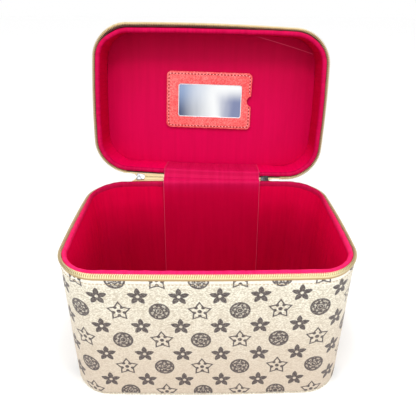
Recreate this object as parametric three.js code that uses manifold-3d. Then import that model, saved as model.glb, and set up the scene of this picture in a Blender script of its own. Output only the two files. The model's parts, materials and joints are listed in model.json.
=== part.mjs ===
// A makeup train case: a deep box and a shallow lid, both of fibreboard covered in leatherette and
// lined with padded satin, joined along the back by a soft hinge and closed by a zip with two sliders.
// Millimetres, +Z up, +X to the right, +Y to the back. The origin is the centre of the base.
// The lid is drawn closed on the box and then turned back about the hinge, where it rests open.
import * as THREE from "three";
import { mergeVertices } from "three/addons/utils/BufferGeometryUtils.js";
import Module from "manifold-3d";

const wasm = await Module();
wasm.setup();

// Plan of the case: a rounded rectangle whose sides bow out.
const CASE_WIDTH = 260;
const CASE_DEPTH = 166;
const CORNER_RADIUS = 35;
const SIDE_BOW = 3;
const CORNER_STEPS = 8;
const SIDE_STEPS = 6;

// Heights of the box and of the lid that closes on it.
const RIM_HEIGHT = 145;
const RIM_GAP = 0.6;
const LID_HEIGHT = 45.6;
const LID_RIM = RIM_HEIGHT + RIM_GAP;
const LID_TOP = LID_RIM + LID_HEIGHT;
const CLOSING_HEIGHT = RIM_HEIGHT + RIM_GAP / 2;

// The walls, as layers measured outwards from the plan outline. GAP keeps neighbours apart.
const GAP = 0.3;
const COVER_OUTER = 1;
const COVER_INNER = -0.1;
const BOARD_OUTER = COVER_INNER - GAP;
const BOARD_INNER = BOARD_OUTER - 2.2;
const LINING_OUTER = BOARD_INNER - GAP;
const LINING_INNER = LINING_OUTER - 3;
const COVER_THICKNESS = 1.2;
const BOARD_THICKNESS = 2.2;
const PAD_THICKNESS = 2;

// The rim: a soft binding over the board's edge, and the zip that stands just outside it.
const BINDING_HEIGHT = 2.7;
const TAPE_HEIGHT = 3.4;
const TAPE_INNER = 0.5;
const TAPE_OUTER = 1.3;
const COIL_HEIGHT = 3;
const COIL_OUTER = 2.3;

// The soft hinge. Its line runs a little askew, so the open lid stands slightly turned.
const OPEN_ANGLE = THREE.MathUtils.degToRad(101);
const HINGE_Y = 90;
const HINGE_Z = CLOSING_HEIGHT;
const HINGE_SKEW = THREE.MathUtils.degToRad(-1.8);
const HINGE_RISE = THREE.MathUtils.degToRad(0.4);
const HINGE_AXIS = new THREE.Vector3(1, Math.tan(HINGE_SKEW), Math.tan(HINGE_RISE)).normalize();
const FLAP_CENTRE = 6;
const FLAP_WIDTH = 114;
const FLAP_THICKNESS = 1;
const FLAP_FOOT = 16;
const STRIP_FACE = 87.3;
const STRIP_THICKNESS = 1.2;
const STRIP_LAP = 8;
const STRIP_CLEARANCE = 1.5;

// The closed ends of the zip, its sliders and their pulls.
const ZIP_STOP_X = 92;
const ZIP_FACE_X = 75;
const CLOSED_COIL_INNER = 1.1;
const CLOSED_COIL_HEIGHT = 2.6;
const SLIDER_LENGTH = 9.6;
const SLIDER_HEIGHT = 5.6;
const SLIDER_THICKNESS = 1.4;
const SLIDER_INNER = 2.9;
const CROWN_LENGTH = 7;
const CROWN_WIDTH = 2;
const CROWN_RISE = 2.6;
const CROWN_WALL = 0.8;
const PULL_AXIS_RISE = 1.1;
const PULL_WIDTH = 6;
const PULL_START = 4.2;
const PULL_LENGTH = 19;
const PULL_THICKNESS = 1.2;
const ZIP_SIDES = [
  { side: "left", sign: -1, slider: -78.5, inner: -52.5, pivotY: 92, pivotZ: 145.5 },
  { side: "right", sign: 1, slider: 69.5, inner: 64.5, pivotY: 88.8, pivotZ: 145.4 },
];

// The mirror and the pocket that it slides out of, sewn to the middle of the lid's lining.
const POCKET_CENTRE_X = -1;
const POCKET_CENTRE_Y = -1.5;
const POCKET_WIDTH = 104;
const POCKET_HEIGHT = 69;
const POCKET_SKIN = 1.2;
const POCKET_SPACE = 2.2;
const POCKET_SEAM = 5;
const WINDOW_WIDTH = 78;
const WINDOW_HEIGHT = 40;
const NOTCH_RADIUS = 6.5;
const MIRROR_WIDTH = 91;
const MIRROR_HEIGHT = 57;
const MIRROR_THICKNESS = 1.6;

// The carry handle on the lid: a flat-cut arch on two rings that turn in loop tabs.
const HANDLE_PIVOT_RISE = 6.5;
const HANDLE_HANG = THREE.MathUtils.degToRad(-79);
const HANDLE_LEG_X = 52;
const HANDLE_STRAP = 20;
const HANDLE_THICKNESS = 7;
const HANDLE_ROUNDING = 1.5;
const HANDLE_HEIGHT = 46;
const HANDLE_CORNER = 26;
const RING_WIRE = 2.6;
const RING_HALF_WIDTH = 13.8;
const RING_RISE = 11;
const LOOP_BORE = 2.2;
const LOOP_OUTER = 3.5;
const LEG_END_RISE = RING_RISE - 3.6;
const TAB_WIDTH = 22;
const TAB_LENGTH = 32;
const TAB_THICKNESS = 1.6;
const RIVET_OFFSET = 11;
const RIVET_HEAD = 3;
const RIVET_HEAD_HEIGHT = 1;
const RIVET_SHANK = 1.2;
const RIVET_BORE = 1.5;
const ROUND_STEPS = 16;

// A material with its colour, roughness and metalness.
function finish(color, roughness, metalness = 0) {
  return new THREE.MeshStandardMaterial({ color, roughness, metalness });
}

const FIBREBOARD = () => finish(0x9c7f5d, 0.9);
const LEATHERETTE = () => finish(0xe6dcc6, 0.55);
const SATIN = () => finish(0xb8002f, 0.5);
const RIM_SATIN = () => finish(0xf0286e, 0.5);
const ZIP_CLOTH = () => finish(0xd8c58e, 0.8);
const ZIP_PLASTIC = () => finish(0xe6d69c, 0.45);
const FRAME_LEATHERETTE = () => finish(0xee5a52, 0.55);
const SILVER_METAL = () => finish(0xcfd1d4, 0.22, 1);
const SILVER_GLASS = () => finish(0xdfe8ee, 0.04, 1);

// A closed geometry as a solid that can be cut and joined.
function solidOf(geometry) {
  const bare = geometry.clone();
  bare.deleteAttribute("normal");
  bare.deleteAttribute("uv");
  const merged = mergeVertices(bare, 1e-4);
  return new wasm.Manifold(
    new wasm.Mesh({
      numProp: 3,
      vertProperties: new Float32Array(merged.attributes.position.array),
      triVerts: new Uint32Array(merged.index.array),
    }),
  );
}

// The solid's triangles as a geometry.
function geometryOf(solid) {
  const { vertProperties, triVerts } = solid.getMesh();
  const geometry = new THREE.BufferGeometry();
  geometry.setAttribute("position", new THREE.BufferAttribute(vertProperties, 3));
  geometry.setIndex(new THREE.BufferAttribute(triVerts, 1));
  geometry.computeVertexNormals();
  return geometry;
}

// A mesh with its name, put into its group.
function addPiece(group, name, shape, material) {
  const geometry = shape.isBufferGeometry ? shape : geometryOf(shape);
  const mesh = new THREE.Mesh(geometry, material);
  mesh.name = name;
  group.add(mesh);
}

// A box between two corners.
function boxBetween(low, high) {
  const size = high.map((value, i) => value - low[i]);
  const geometry = new THREE.BoxGeometry(...size);
  geometry.translate(...low.map((value, i) => value + size[i] / 2));
  return solidOf(geometry);
}

// A round bar along X, centred on a point.
function barAlongX(radius, length, x, y, z) {
  const geometry = new THREE.CylinderGeometry(radius, radius, length, ROUND_STEPS);
  geometry.rotateZ(Math.PI / 2);
  geometry.translate(x, y, z);
  return solidOf(geometry);
}

// A round bar along Z between two heights.
function barAlongZ(radius, x, y, low, high) {
  const geometry = new THREE.CylinderGeometry(radius, radius, high - low, ROUND_STEPS);
  geometry.rotateX(Math.PI / 2);
  geometry.translate(x, y, (low + high) / 2);
  return solidOf(geometry);
}

// The plan outline moved outwards by an offset, as points in order.
function planPoints(offset) {
  const halfX = CASE_WIDTH / 2 + offset;
  const halfY = CASE_DEPTH / 2 + offset;
  const radius = CORNER_RADIUS + offset;
  const straight = [];
  for (let corner = 0; corner < 4; corner += 1) {
    const signX = corner === 0 || corner === 3 ? 1 : -1;
    const signY = corner < 2 ? 1 : -1;
    for (let step = 0; step <= CORNER_STEPS; step += 1) {
      const angle = ((corner + step / CORNER_STEPS) * Math.PI) / 2;
      const x = signX * (halfX - radius) + radius * Math.cos(angle);
      const y = signY * (halfY - radius) + radius * Math.sin(angle);
      straight.push(new THREE.Vector2(x, y));
    }
  }
  const points = [];
  straight.forEach((point, i) => {
    points.push(point);
    if ((i + 1) % (CORNER_STEPS + 1) === 0) {
      const next = straight[(i + 1) % straight.length];
      for (let step = 1; step < SIDE_STEPS; step += 1) {
        points.push(point.clone().lerp(next, step / SIDE_STEPS));
      }
    }
  });
  return points.map(({ x, y }) => {
    const bowX = SIDE_BOW * (1 - (y / halfY) ** 2) * (x / halfX);
    const bowY = SIDE_BOW * (1 - (x / halfX) ** 2) * (y / halfY);
    return new THREE.Vector2(x + bowX, y + bowY);
  });
}

// A flat plate with the plan outline.
function plate(offset, low, high) {
  const shape = new THREE.Shape(planPoints(offset));
  const geometry = new THREE.ExtrudeGeometry(shape, { depth: high - low, bevelEnabled: false });
  geometry.translate(0, 0, low);
  return solidOf(geometry);
}

// A wall that follows the plan outline between two offsets.
function wall(inner, outer, low, high) {
  const shape = new THREE.Shape(planPoints(outer));
  shape.holes.push(new THREE.Path(planPoints(inner).reverse()));
  const geometry = new THREE.ExtrudeGeometry(shape, { depth: high - low, bevelEnabled: false });
  geometry.translate(0, 0, low);
  return solidOf(geometry);
}

// The block of space at the back of the case between two values of x.
function backSpace(lowX, highX, low = -1, high = 400) {
  return boxBetween([lowX, 0, low], [highX, CASE_DEPTH, high]);
}

const flapLow = FLAP_CENTRE - FLAP_WIDTH / 2;
const flapHigh = FLAP_CENTRE + FLAP_WIDTH / 2;
const flapOuter = LINING_INNER - GAP;
const flapInner = flapOuter - FLAP_THICKNESS;

// The rim pieces of the box or of the lid. toward is 1 for the box, whose rim faces up, and -1 for the lid.
function addRim(group, prefix, rim, toward) {
  const between = (start, height) => {
    const ends = [rim - toward * start, rim - toward * (start + height)];
    return [Math.min(...ends), Math.max(...ends)];
  };
  const binding = wall(LINING_INNER, 0, ...between(0, BINDING_HEIGHT));
  const coil = wall(TAPE_INNER, COIL_OUTER, ...between(0, COIL_HEIGHT));
  const tape = wall(TAPE_INNER, TAPE_OUTER, ...between(COIL_HEIGHT + GAP, TAPE_HEIGHT));
  const zipBreak = backSpace(-ZIP_STOP_X - SLIDER_LENGTH / 2, ZIP_STOP_X - SLIDER_LENGTH / 2);
  addPiece(group, `${prefix}_binding`, binding.subtract(backSpace(flapLow - 1, flapHigh + 1)), RIM_SATIN());
  addPiece(group, `${prefix}_zip_coil`, coil.subtract(zipBreak), ZIP_PLASTIC());
  addPiece(group, `${prefix}_zip_tape`, tape.subtract(zipBreak), ZIP_CLOTH());
}

// The satin flap over the inside of the hinge: down the back wall, with a lip over the board's edge.
function hingeFlap(wallLow, wallHigh, lipLow) {
  const lip = wall(flapInner, BOARD_OUTER, lipLow, lipLow + FLAP_THICKNESS);
  const face = wall(flapInner, flapOuter, wallLow, wallHigh);
  return face.add(lip).intersect(backSpace(flapLow, flapHigh));
}

// The outer hinge strip, on the back of the case.
function hingeStrip(low, high) {
  return boxBetween([flapLow + 0.5, STRIP_FACE, low], [flapHigh - 0.5, STRIP_FACE + STRIP_THICKNESS, high]);
}

const boardEdge = RIM_HEIGHT - BINDING_HEIGHT - GAP;
const coverEdge = RIM_HEIGHT - COIL_HEIGHT - TAPE_HEIGHT - 2 * GAP;
const baseBoardLow = COVER_THICKNESS + GAP;
const baseBoardHigh = baseBoardLow + BOARD_THICKNESS;
const padLow = baseBoardHigh + GAP;

// The box.
function addBox(group) {
  addPiece(group, "base_cover", plate(COVER_OUTER, 0, COVER_THICKNESS), LEATHERETTE());
  addPiece(group, "base_board", plate(LINING_OUTER, baseBoardLow, baseBoardHigh), FIBREBOARD());
  addPiece(group, "body_wall_board", wall(BOARD_INNER, BOARD_OUTER, baseBoardLow, boardEdge), FIBREBOARD());
  addPiece(group, "body_cover", wall(COVER_INNER, COVER_OUTER, baseBoardLow, coverEdge), LEATHERETTE());
  addPiece(group, "body_lining", wall(LINING_INNER, LINING_OUTER, padLow, boardEdge), SATIN());
  addPiece(group, "base_lining", plate(LINING_INNER - GAP, padLow, padLow + PAD_THICKNESS), SATIN());
  addRim(group, "body", RIM_HEIGHT, 1);
  const lipLow = boardEdge + GAP;
  addPiece(group, "hinge_flap_lower", hingeFlap(FLAP_FOOT, lipLow + FLAP_THICKNESS, lipLow), RIM_SATIN());
  const stripTop = CLOSING_HEIGHT - STRIP_CLEARANCE;
  addPiece(group, "hinge_strip_lower", hingeStrip(coverEdge - STRIP_LAP, stripTop), LEATHERETTE());
}

// Holes through the lid for the rivets that hold the handle's tabs.
const rivetPlaces = [-1, 1].flatMap((sideX) =>
  [-1, 1].map((sideY) => ({ x: sideX * HANDLE_LEG_X, y: sideY * RIVET_OFFSET })),
);

function drillRivets(solid, low, high) {
  return rivetPlaces.reduce(
    (cut, { x, y }) => cut.subtract(barAlongZ(RIVET_BORE, x, y, low, high)),
    solid,
  );
}

const lidBoardHigh = LID_TOP - baseBoardLow;
const lidBoardLow = LID_TOP - baseBoardHigh;
const lidPadHigh = LID_TOP - padLow;
const lidPadLow = lidPadHigh - PAD_THICKNESS;
const lidBoardEdge = LID_RIM + BINDING_HEIGHT + GAP;
const lidCoverEdge = LID_RIM + COIL_HEIGHT + TAPE_HEIGHT + 2 * GAP;

// The lid, drawn closed.
function addLid(group) {
  const topCover = drillRivets(plate(COVER_OUTER, LID_TOP - COVER_THICKNESS, LID_TOP), lidPadLow, LID_TOP + 1);
  const topBoard = drillRivets(plate(LINING_OUTER, lidBoardLow, lidBoardHigh), lidPadLow, LID_TOP + 1);
  addPiece(group, "lid_top_cover", topCover, LEATHERETTE());
  addPiece(group, "lid_top_board", topBoard, FIBREBOARD());
  addPiece(group, "lid_wall_board", wall(BOARD_INNER, BOARD_OUTER, lidBoardEdge, lidBoardHigh), FIBREBOARD());
  addPiece(group, "lid_side_cover", wall(COVER_INNER, COVER_OUTER, lidCoverEdge, lidBoardHigh), LEATHERETTE());
  addPiece(group, "lid_side_lining", wall(LINING_INNER, LINING_OUTER, lidBoardEdge, lidPadHigh), SATIN());
  addPiece(group, "lid_panel_lining", plate(LINING_INNER - GAP, lidPadLow, lidPadHigh), SATIN());
  addRim(group, "lid", LID_RIM, -1);
  const lipLow = lidBoardEdge - GAP - FLAP_THICKNESS;
  addPiece(group, "hinge_flap_upper", hingeFlap(lipLow, lidPadLow - GAP, lipLow), RIM_SATIN());
  const stripLow = CLOSING_HEIGHT + STRIP_CLEARANCE;
  addPiece(group, "hinge_strip_upper", hingeStrip(stripLow, lidCoverEdge + STRIP_LAP), LEATHERETTE());
}

// The mirror pocket: a skin with a window, stood off the lining along three edges, open on the right.
function addPocket(group) {
  const [halfX, halfY] = [POCKET_WIDTH / 2, POCKET_HEIGHT / 2];
  const [x, y] = [POCKET_CENTRE_X, POCKET_CENTRE_Y];
  const high = lidPadLow - GAP;
  const low = high - POCKET_SPACE - POCKET_SKIN;
  const spaceLow = low + POCKET_SKIN;
  const block = boxBetween([x - halfX, y - halfY, low], [x + halfX, y + halfY, high]);
  const space = boxBetween(
    [x - halfX + POCKET_SEAM, y - halfY + POCKET_SEAM, spaceLow],
    [x + halfX + 1, y + halfY - POCKET_SEAM, high + 1],
  );
  const window = boxBetween(
    [x - WINDOW_WIDTH / 2, y - WINDOW_HEIGHT / 2, low - 1],
    [x + WINDOW_WIDTH / 2, y + WINDOW_HEIGHT / 2, spaceLow + 1],
  );
  const notch = barAlongZ(NOTCH_RADIUS, x + halfX + 1, y, low - 1, spaceLow + 1);
  const frame = block.subtract(space).subtract(window).subtract(notch);
  addPiece(group, "mirror_pocket_frame", frame, FRAME_LEATHERETTE());
  const mirrorLow = spaceLow + (POCKET_SPACE - MIRROR_THICKNESS) / 2;
  const mirrorLeft = x - halfX + POCKET_SEAM + 1;
  const mirror = boxBetween(
    [mirrorLeft, y - MIRROR_HEIGHT / 2, mirrorLow],
    [mirrorLeft + MIRROR_WIDTH, y + MIRROR_HEIGHT / 2, mirrorLow + MIRROR_THICKNESS],
  );
  addPiece(group, "mirror_plate", mirror, SILVER_GLASS());
}

const pivotZ = LID_TOP + HANDLE_PIVOT_RISE;
const tabTop = LID_TOP + GAP + TAB_THICKNESS;

// The loop tabs and rivets that hold the handle on the lid.
function addHandleMounts(group) {
  for (const [side, x] of [["left", -HANDLE_LEG_X], ["right", HANDLE_LEG_X]]) {
    const foot = boxBetween(
      [x - TAB_WIDTH / 2, -TAB_LENGTH / 2, LID_TOP + GAP],
      [x + TAB_WIDTH / 2, TAB_LENGTH / 2, tabTop],
    );
    const loopLength = TAB_WIDTH - 2;
    const web = boxBetween([x - loopLength / 2, -LOOP_OUTER, tabTop - 0.5], [x + loopLength / 2, LOOP_OUTER, pivotZ]);
    const loop = barAlongX(LOOP_OUTER, loopLength, x, 0, pivotZ);
    const bore = barAlongX(LOOP_BORE, TAB_WIDTH, x, 0, pivotZ);
    const tab = foot.add(web).add(loop).subtract(bore);
    addPiece(group, `handle_tab_${side}`, drillRivets(tab, LID_TOP, tabTop + 0.1), LEATHERETTE());
  }
  rivetPlaces.forEach(({ x, y }, i) => {
    const headLow = tabTop + GAP;
    const shank = barAlongZ(RIVET_SHANK, x, y, lidBoardLow, headLow + RIVET_HEAD_HEIGHT / 2);
    const head = barAlongZ(RIVET_HEAD, x, y, headLow, headLow + RIVET_HEAD_HEIGHT);
    addPiece(group, `handle_rivet_${i + 1}`, shank.add(head), SILVER_METAL());
  });
}

// A rectangle with rounded corners, as a shape or a hole.
function roundedRectangle(path, lowX, lowY, highX, highY, radius) {
  path.moveTo(lowX + radius, lowY);
  path.lineTo(highX - radius, lowY);
  path.absarc(highX - radius, lowY + radius, radius, -Math.PI / 2, 0, false);
  path.absarc(highX - radius, highY - radius, radius, 0, Math.PI / 2, false);
  path.absarc(lowX + radius, highY - radius, radius, Math.PI / 2, Math.PI, false);
  path.absarc(lowX + radius, lowY + radius, radius, Math.PI, 1.5 * Math.PI, false);
  path.closePath();
  return path;
}

// A flat shape drawn in X and Z, given a thickness along Y about zero.
function standingPlate(shape, thickness, rounding, curveSegments) {
  const geometry = new THREE.ExtrudeGeometry(shape, {
    depth: thickness - 2 * rounding,
    bevelThickness: rounding,
    bevelSize: rounding,
    bevelOffset: -rounding,
    bevelSegments: 2,
    curveSegments,
  });
  geometry.rotateX(Math.PI / 2);
  geometry.translate(0, (thickness - 2 * rounding) / 2, 0);
  return solidOf(geometry);
}

// The handle and its rings, drawn standing up from their pivot line.
function addHandle(group) {
  const outer = HANDLE_LEG_X + HANDLE_STRAP / 2;
  const inner = HANDLE_LEG_X - HANDLE_STRAP / 2;
  const innerTop = HANDLE_HEIGHT - HANDLE_STRAP;
  const innerCorner = HANDLE_CORNER - HANDLE_STRAP / 2;
  const arch = new THREE.Shape();
  arch.moveTo(inner, LEG_END_RISE);
  arch.lineTo(outer, LEG_END_RISE);
  arch.lineTo(outer, HANDLE_HEIGHT - HANDLE_CORNER);
  arch.absarc(outer - HANDLE_CORNER, HANDLE_HEIGHT - HANDLE_CORNER, HANDLE_CORNER, 0, Math.PI / 2, false);
  arch.lineTo(HANDLE_CORNER - outer, HANDLE_HEIGHT);
  arch.absarc(HANDLE_CORNER - outer, HANDLE_HEIGHT - HANDLE_CORNER, HANDLE_CORNER, Math.PI / 2, Math.PI, false);
  arch.lineTo(-outer, LEG_END_RISE);
  arch.lineTo(-inner, LEG_END_RISE);
  arch.lineTo(-inner, innerTop - innerCorner);
  arch.absarc(innerCorner - inner, innerTop - innerCorner, innerCorner, Math.PI, Math.PI / 2, true);
  arch.lineTo(inner - innerCorner, innerTop);
  arch.absarc(inner - innerCorner, innerTop - innerCorner, innerCorner, Math.PI / 2, 0, true);
  arch.closePath();
  let grip = standingPlate(arch, HANDLE_THICKNESS, HANDLE_ROUNDING, 6);
  for (const [side, x] of [["left", -HANDLE_LEG_X], ["right", HANDLE_LEG_X]]) {
    grip = grip.subtract(barAlongX(LOOP_BORE, HANDLE_STRAP + 4, x, 0, RING_RISE));
    const half = RING_WIRE / 2;
    const ring = roundedRectangle(
      new THREE.Shape(), x - RING_HALF_WIDTH, -half, x + RING_HALF_WIDTH, RING_RISE + half, 2.6,
    );
    const hole = roundedRectangle(
      new THREE.Path(), x - RING_HALF_WIDTH + RING_WIRE, half, x + RING_HALF_WIDTH - RING_WIRE, RING_RISE - half, 0.6,
    );
    ring.holes.push(hole);
    addPiece(group, `handle_ring_${side}`, standingPlate(ring, RING_WIRE, 0.5, 3), SILVER_METAL());
  }
  addPiece(group, "handle_grip", grip, LEATHERETTE());
}

// The face of the plan outline where the zip's closed ends lie.
const zipFace = CASE_DEPTH / 2 + SIDE_BOW * (1 - (ZIP_FACE_X / (CASE_WIDTH / 2)) ** 2);

// One closed end of the zip, with its slider and pull, drawn with the case closed.
function addZipEnd(group, { side, sign, slider, inner }) {
  const far = sign * (ZIP_STOP_X - (sign > 0 ? SLIDER_LENGTH / 2 : -SLIDER_LENGTH / 2)) - sign * 0.5;
  const coil = boxBetween(
    [Math.min(far, inner), zipFace + CLOSED_COIL_INNER, CLOSING_HEIGHT - CLOSED_COIL_HEIGHT / 2],
    [Math.max(far, inner), zipFace + COIL_OUTER + 0.2, CLOSING_HEIGHT + CLOSED_COIL_HEIGHT / 2],
  );
  addPiece(group, `zip_end_${side}`, coil, ZIP_PLASTIC());
  const face = zipFace + SLIDER_INNER + SLIDER_THICKNESS;
  const blockAt = (halfX, lowY, highY, halfZ) =>
    boxBetween(
      [slider - halfX, lowY, CLOSING_HEIGHT - halfZ],
      [slider + halfX, highY, CLOSING_HEIGHT + halfZ],
    );
  const base = blockAt(SLIDER_LENGTH / 2, zipFace + SLIDER_INNER, face, SLIDER_HEIGHT / 2);
  const crown = blockAt(CROWN_LENGTH / 2, face - 0.2, face + CROWN_RISE, CROWN_WIDTH / 2);
  const tunnel = blockAt(CROWN_LENGTH / 2 - CROWN_WALL, face, face + CROWN_RISE - CROWN_WALL, CROWN_WIDTH);
  addPiece(group, `zip_slider_${side}`, base.add(crown.subtract(tunnel)), SILVER_METAL());
  const pullY = face + PULL_AXIS_RISE;
  const halfBar = PULL_WIDTH / 2;
  const bar = barAlongZ(0.6, slider, pullY, CLOSING_HEIGHT - halfBar, CLOSING_HEIGHT + halfBar);
  const body = blockAt(PULL_THICKNESS / 2, pullY, pullY + PULL_LENGTH, halfBar);
  const eye = blockAt(PULL_THICKNESS, pullY - 1, pullY + PULL_START, halfBar - 1.2);
  addPiece(group, `zip_pull_${side}`, body.subtract(eye).add(bar), SILVER_METAL());
}

// A group that turns what is put into it about a line through a point.
function turnedGroup(parent, point, axis, angle) {
  const turned = new THREE.Group();
  turned.position.copy(point);
  turned.quaternion.setFromAxisAngle(axis, angle);
  const content = new THREE.Group();
  content.position.copy(point).negate();
  turned.add(content);
  parent.add(turned);
  return content;
}

const trainCase = new THREE.Group();
addBox(trainCase);

const hingePoint = new THREE.Vector3(0, HINGE_Y, HINGE_Z);
const lid = turnedGroup(trainCase, hingePoint, HINGE_AXIS, -OPEN_ANGLE);
addLid(lid);
addPocket(lid);
addHandleMounts(lid);

const handle = new THREE.Group();
handle.position.set(0, 0, pivotZ);
handle.rotation.x = HANDLE_HANG;
lid.add(handle);
addHandle(handle);

for (const zipSide of ZIP_SIDES) {
  const pivot = new THREE.Vector3(zipSide.slider, zipSide.pivotY, zipSide.pivotZ);
  addZipEnd(turnedGroup(trainCase, pivot, HINGE_AXIS, -OPEN_ANGLE / 2), zipSide);
}

export default trainCase;
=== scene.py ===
"""A makeup train case, standing open: the looks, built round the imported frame.

Shapes are drawn in millimetres with the case closed, and turned open about the lid's hinge. A place on
the case is given as (s, offset, height): s runs round the plan outline from the middle of the front,
positive to the right, and offset is measured outwards from the outline.
"""
import json
import math

import bmesh
import bpy
import numpy as np
from mathutils import Matrix, Vector


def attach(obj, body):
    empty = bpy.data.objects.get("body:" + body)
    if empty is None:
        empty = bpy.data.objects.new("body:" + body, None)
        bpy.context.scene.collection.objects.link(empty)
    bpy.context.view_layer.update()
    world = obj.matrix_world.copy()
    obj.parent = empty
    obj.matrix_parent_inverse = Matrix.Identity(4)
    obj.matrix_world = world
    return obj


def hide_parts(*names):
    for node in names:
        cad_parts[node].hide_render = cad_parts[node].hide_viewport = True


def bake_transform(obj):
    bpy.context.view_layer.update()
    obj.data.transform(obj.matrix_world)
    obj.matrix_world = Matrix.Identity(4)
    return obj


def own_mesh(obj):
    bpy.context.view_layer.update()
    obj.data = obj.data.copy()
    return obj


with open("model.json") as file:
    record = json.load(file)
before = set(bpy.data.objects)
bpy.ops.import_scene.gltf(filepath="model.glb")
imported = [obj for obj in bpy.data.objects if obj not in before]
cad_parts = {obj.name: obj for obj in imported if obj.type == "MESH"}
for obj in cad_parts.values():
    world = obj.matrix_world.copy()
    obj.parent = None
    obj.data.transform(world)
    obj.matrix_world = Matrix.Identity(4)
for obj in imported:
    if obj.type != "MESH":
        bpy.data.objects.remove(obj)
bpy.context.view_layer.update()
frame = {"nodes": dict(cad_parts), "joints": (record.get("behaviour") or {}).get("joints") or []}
scene = bpy.context.scene

MM = 0.001
JOINTS = {joint["name"]: joint for joint in frame["joints"]}
HINGE = JOINTS["lid_hinge"]
HINGE_POINT = np.array(HINGE["pos_m"]) / MM
HINGE_AXIS = np.array(HINGE["axis"]) / np.linalg.norm(HINGE["axis"])
OPEN_ANGLE = math.radians(HINGE["range_deg"][1])

# The plan outline and the heights, as in the CAD solids.
HALF_WIDTH, HALF_DEPTH, CORNER, BOW = 130.0, 83.0, 35.0, 3.0
STRAIGHT_X, STRAIGHT_Y, ARC = HALF_WIDTH - CORNER, HALF_DEPTH - CORNER, CORNER * math.pi / 2
HALF_LOOP = 2 * STRAIGHT_X + 2 * STRAIGHT_Y + 2 * ARC
CLOSING, LID_TOP = 145.3, 191.2
FLAP_LOW, FLAP_HIGH = -51.0, 63.0
SLIDERS = {"left": -78.5, "right": 69.5}
UP, BACK = (0.0, 0.0, 1.0), (0.0, 1.0, 0.0)


# ---------------------------------------------------------------- places on the case


def turned(points, axis, centre, angle):
    """Points turned about a line; the angle may be one number or one per point."""
    points = np.asarray(points, float)
    angle = np.asarray(angle, float)[..., None]
    arm = points - centre
    along = (arm @ axis)[..., None] * axis
    return centre + arm * np.cos(angle) + np.cross(axis, arm) * np.sin(angle) + along * (1 - np.cos(angle))


def opened(points, share=1.0):
    """Points of the closed lid, turned open; share 0 stays with the box and 1 goes with the lid."""
    return turned(points, HINGE_AXIS, HINGE_POINT, -OPEN_ANGLE * np.asarray(share, float))


def folded(side):
    """The function that turns points of the closed zip end on that side to where it rests."""
    centre = np.array(JOINTS["zip_fold_" + side]["pos_m"]) / MM
    return lambda points: turned(points, HINGE_AXIS, centre, -OPEN_ANGLE / 2)


def outline(s, offset):
    """Points and outward normals (x, y) of the plan outline moved outwards by an offset."""
    s, offset = np.broadcast_arrays(np.asarray(s, float), np.asarray(offset, float))
    run, side = np.abs(s), np.where(s < 0, -1.0, 1.0)
    ends = np.cumsum([STRAIGHT_X, ARC, 2 * STRAIGHT_Y, ARC])
    turn = np.clip((run - ends[0]) / CORNER, 0, math.pi / 2) + np.clip((run - ends[2]) / CORNER, 0, math.pi
                                                                       / 2)
    nx, ny = np.sin(turn), -np.cos(turn)
    cx = np.where(run > ends[3], STRAIGHT_X - (run - ends[3]), np.minimum(run, STRAIGHT_X))
    cy = -STRAIGHT_Y + np.clip(run - ends[1], 0, 2 * STRAIGHT_Y)
    x, y = (cx + (CORNER + offset) * nx) * side, cy + (CORNER + offset) * ny
    half_x, half_y = HALF_WIDTH + offset, HALF_DEPTH + offset
    bow_x = BOW * (1 - (y / half_y) ** 2) * (x / half_x)
    bow_y = BOW * (1 - (x / half_x) ** 2) * (y / half_y)
    return x + bow_x, y + bow_y, nx * side, ny


def place(s, offset, height):
    """Points (x, y, z) of the closed case."""
    x, y, _, _ = outline(s, offset)
    return np.stack(np.broadcast_arrays(x, y, np.asarray(height, float)), -1)


def outward(s, offset):
    """The outward normals (x, y, z) there."""
    _, _, nx, ny = outline(s, offset)
    return np.stack([nx, ny, np.zeros_like(nx)], -1)


def back_place(x, offset, height):
    """Points on the back of the closed case with that x."""
    x, offset, height = np.broadcast_arrays(x, offset, height)
    y = HALF_DEPTH + offset + BOW * (1 - (x / (HALF_WIDTH + offset)) ** 2)
    return np.stack([x, y, height], -1)


def at_back(x, offset, height, share):
    """A point in metres, at rest, given as the case is when closed."""
    return tuple(opened(back_place(x, offset, height), share) * MM)


def mirrored(height):
    """The lid's height that answers a height of the box when the case is closed."""
    return 2 * CLOSING - height


def mirrored_section(section):
    """A section of the box's rim as the lid's rim."""
    return [(offset, mirrored(height)) for offset, height in section]


def loop_stations(step=3.0):
    """Stations all round the outline, from the middle of the back, without the last that closes it."""
    return np.linspace(-HALF_LOOP, HALF_LOOP, int(2 * HALF_LOOP / step), endpoint=False)


def rim_stations(left_x, right_x, step=3.0):
    """Stations of a run along the rim that leaves out the back of the case between two values of x."""
    start, end = (math.copysign(HALF_LOOP - abs(x), x) for x in (left_x, right_x))
    return np.linspace(start, end, int((end - start) / step))


# ---------------------------------------------------------------- runs of points


def smooth_share(value, low, high):
    """0 below low and 1 above high, with a soft passage between them."""
    share = np.clip((value - low) / (high - low), 0, 1)
    return share * share * (3 - 2 * share)


def ripple(u, v, length, seed, stretch=1.0):
    """A smooth wavy field of about -1 to 1, from waves of about that length."""
    random = np.random.RandomState(seed)
    total = 0.0
    for _ in range(6):
        angle, phase, size = random.uniform(0, 6.283), random.uniform(0, 6.283), random.uniform(0.6, 1.6)
        wave = 6.283 / (length * size)
        total = total + np.sin(wave * (np.cos(angle) * u + np.sin(angle) * v * stretch) + phase)
    return total / 3.2


def spaced(points, step):
    """A run of points with more between them, so that none are further apart than step."""
    points = np.asarray(points, float)
    out = [points[0]]
    for a, b in zip(points[:-1], points[1:]):
        n = max(1, int(np.linalg.norm((b - a)[:2]) / step))
        out += [a + (b - a) * k / n for k in range(1, n + 1)]
    return np.array(out)


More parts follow.
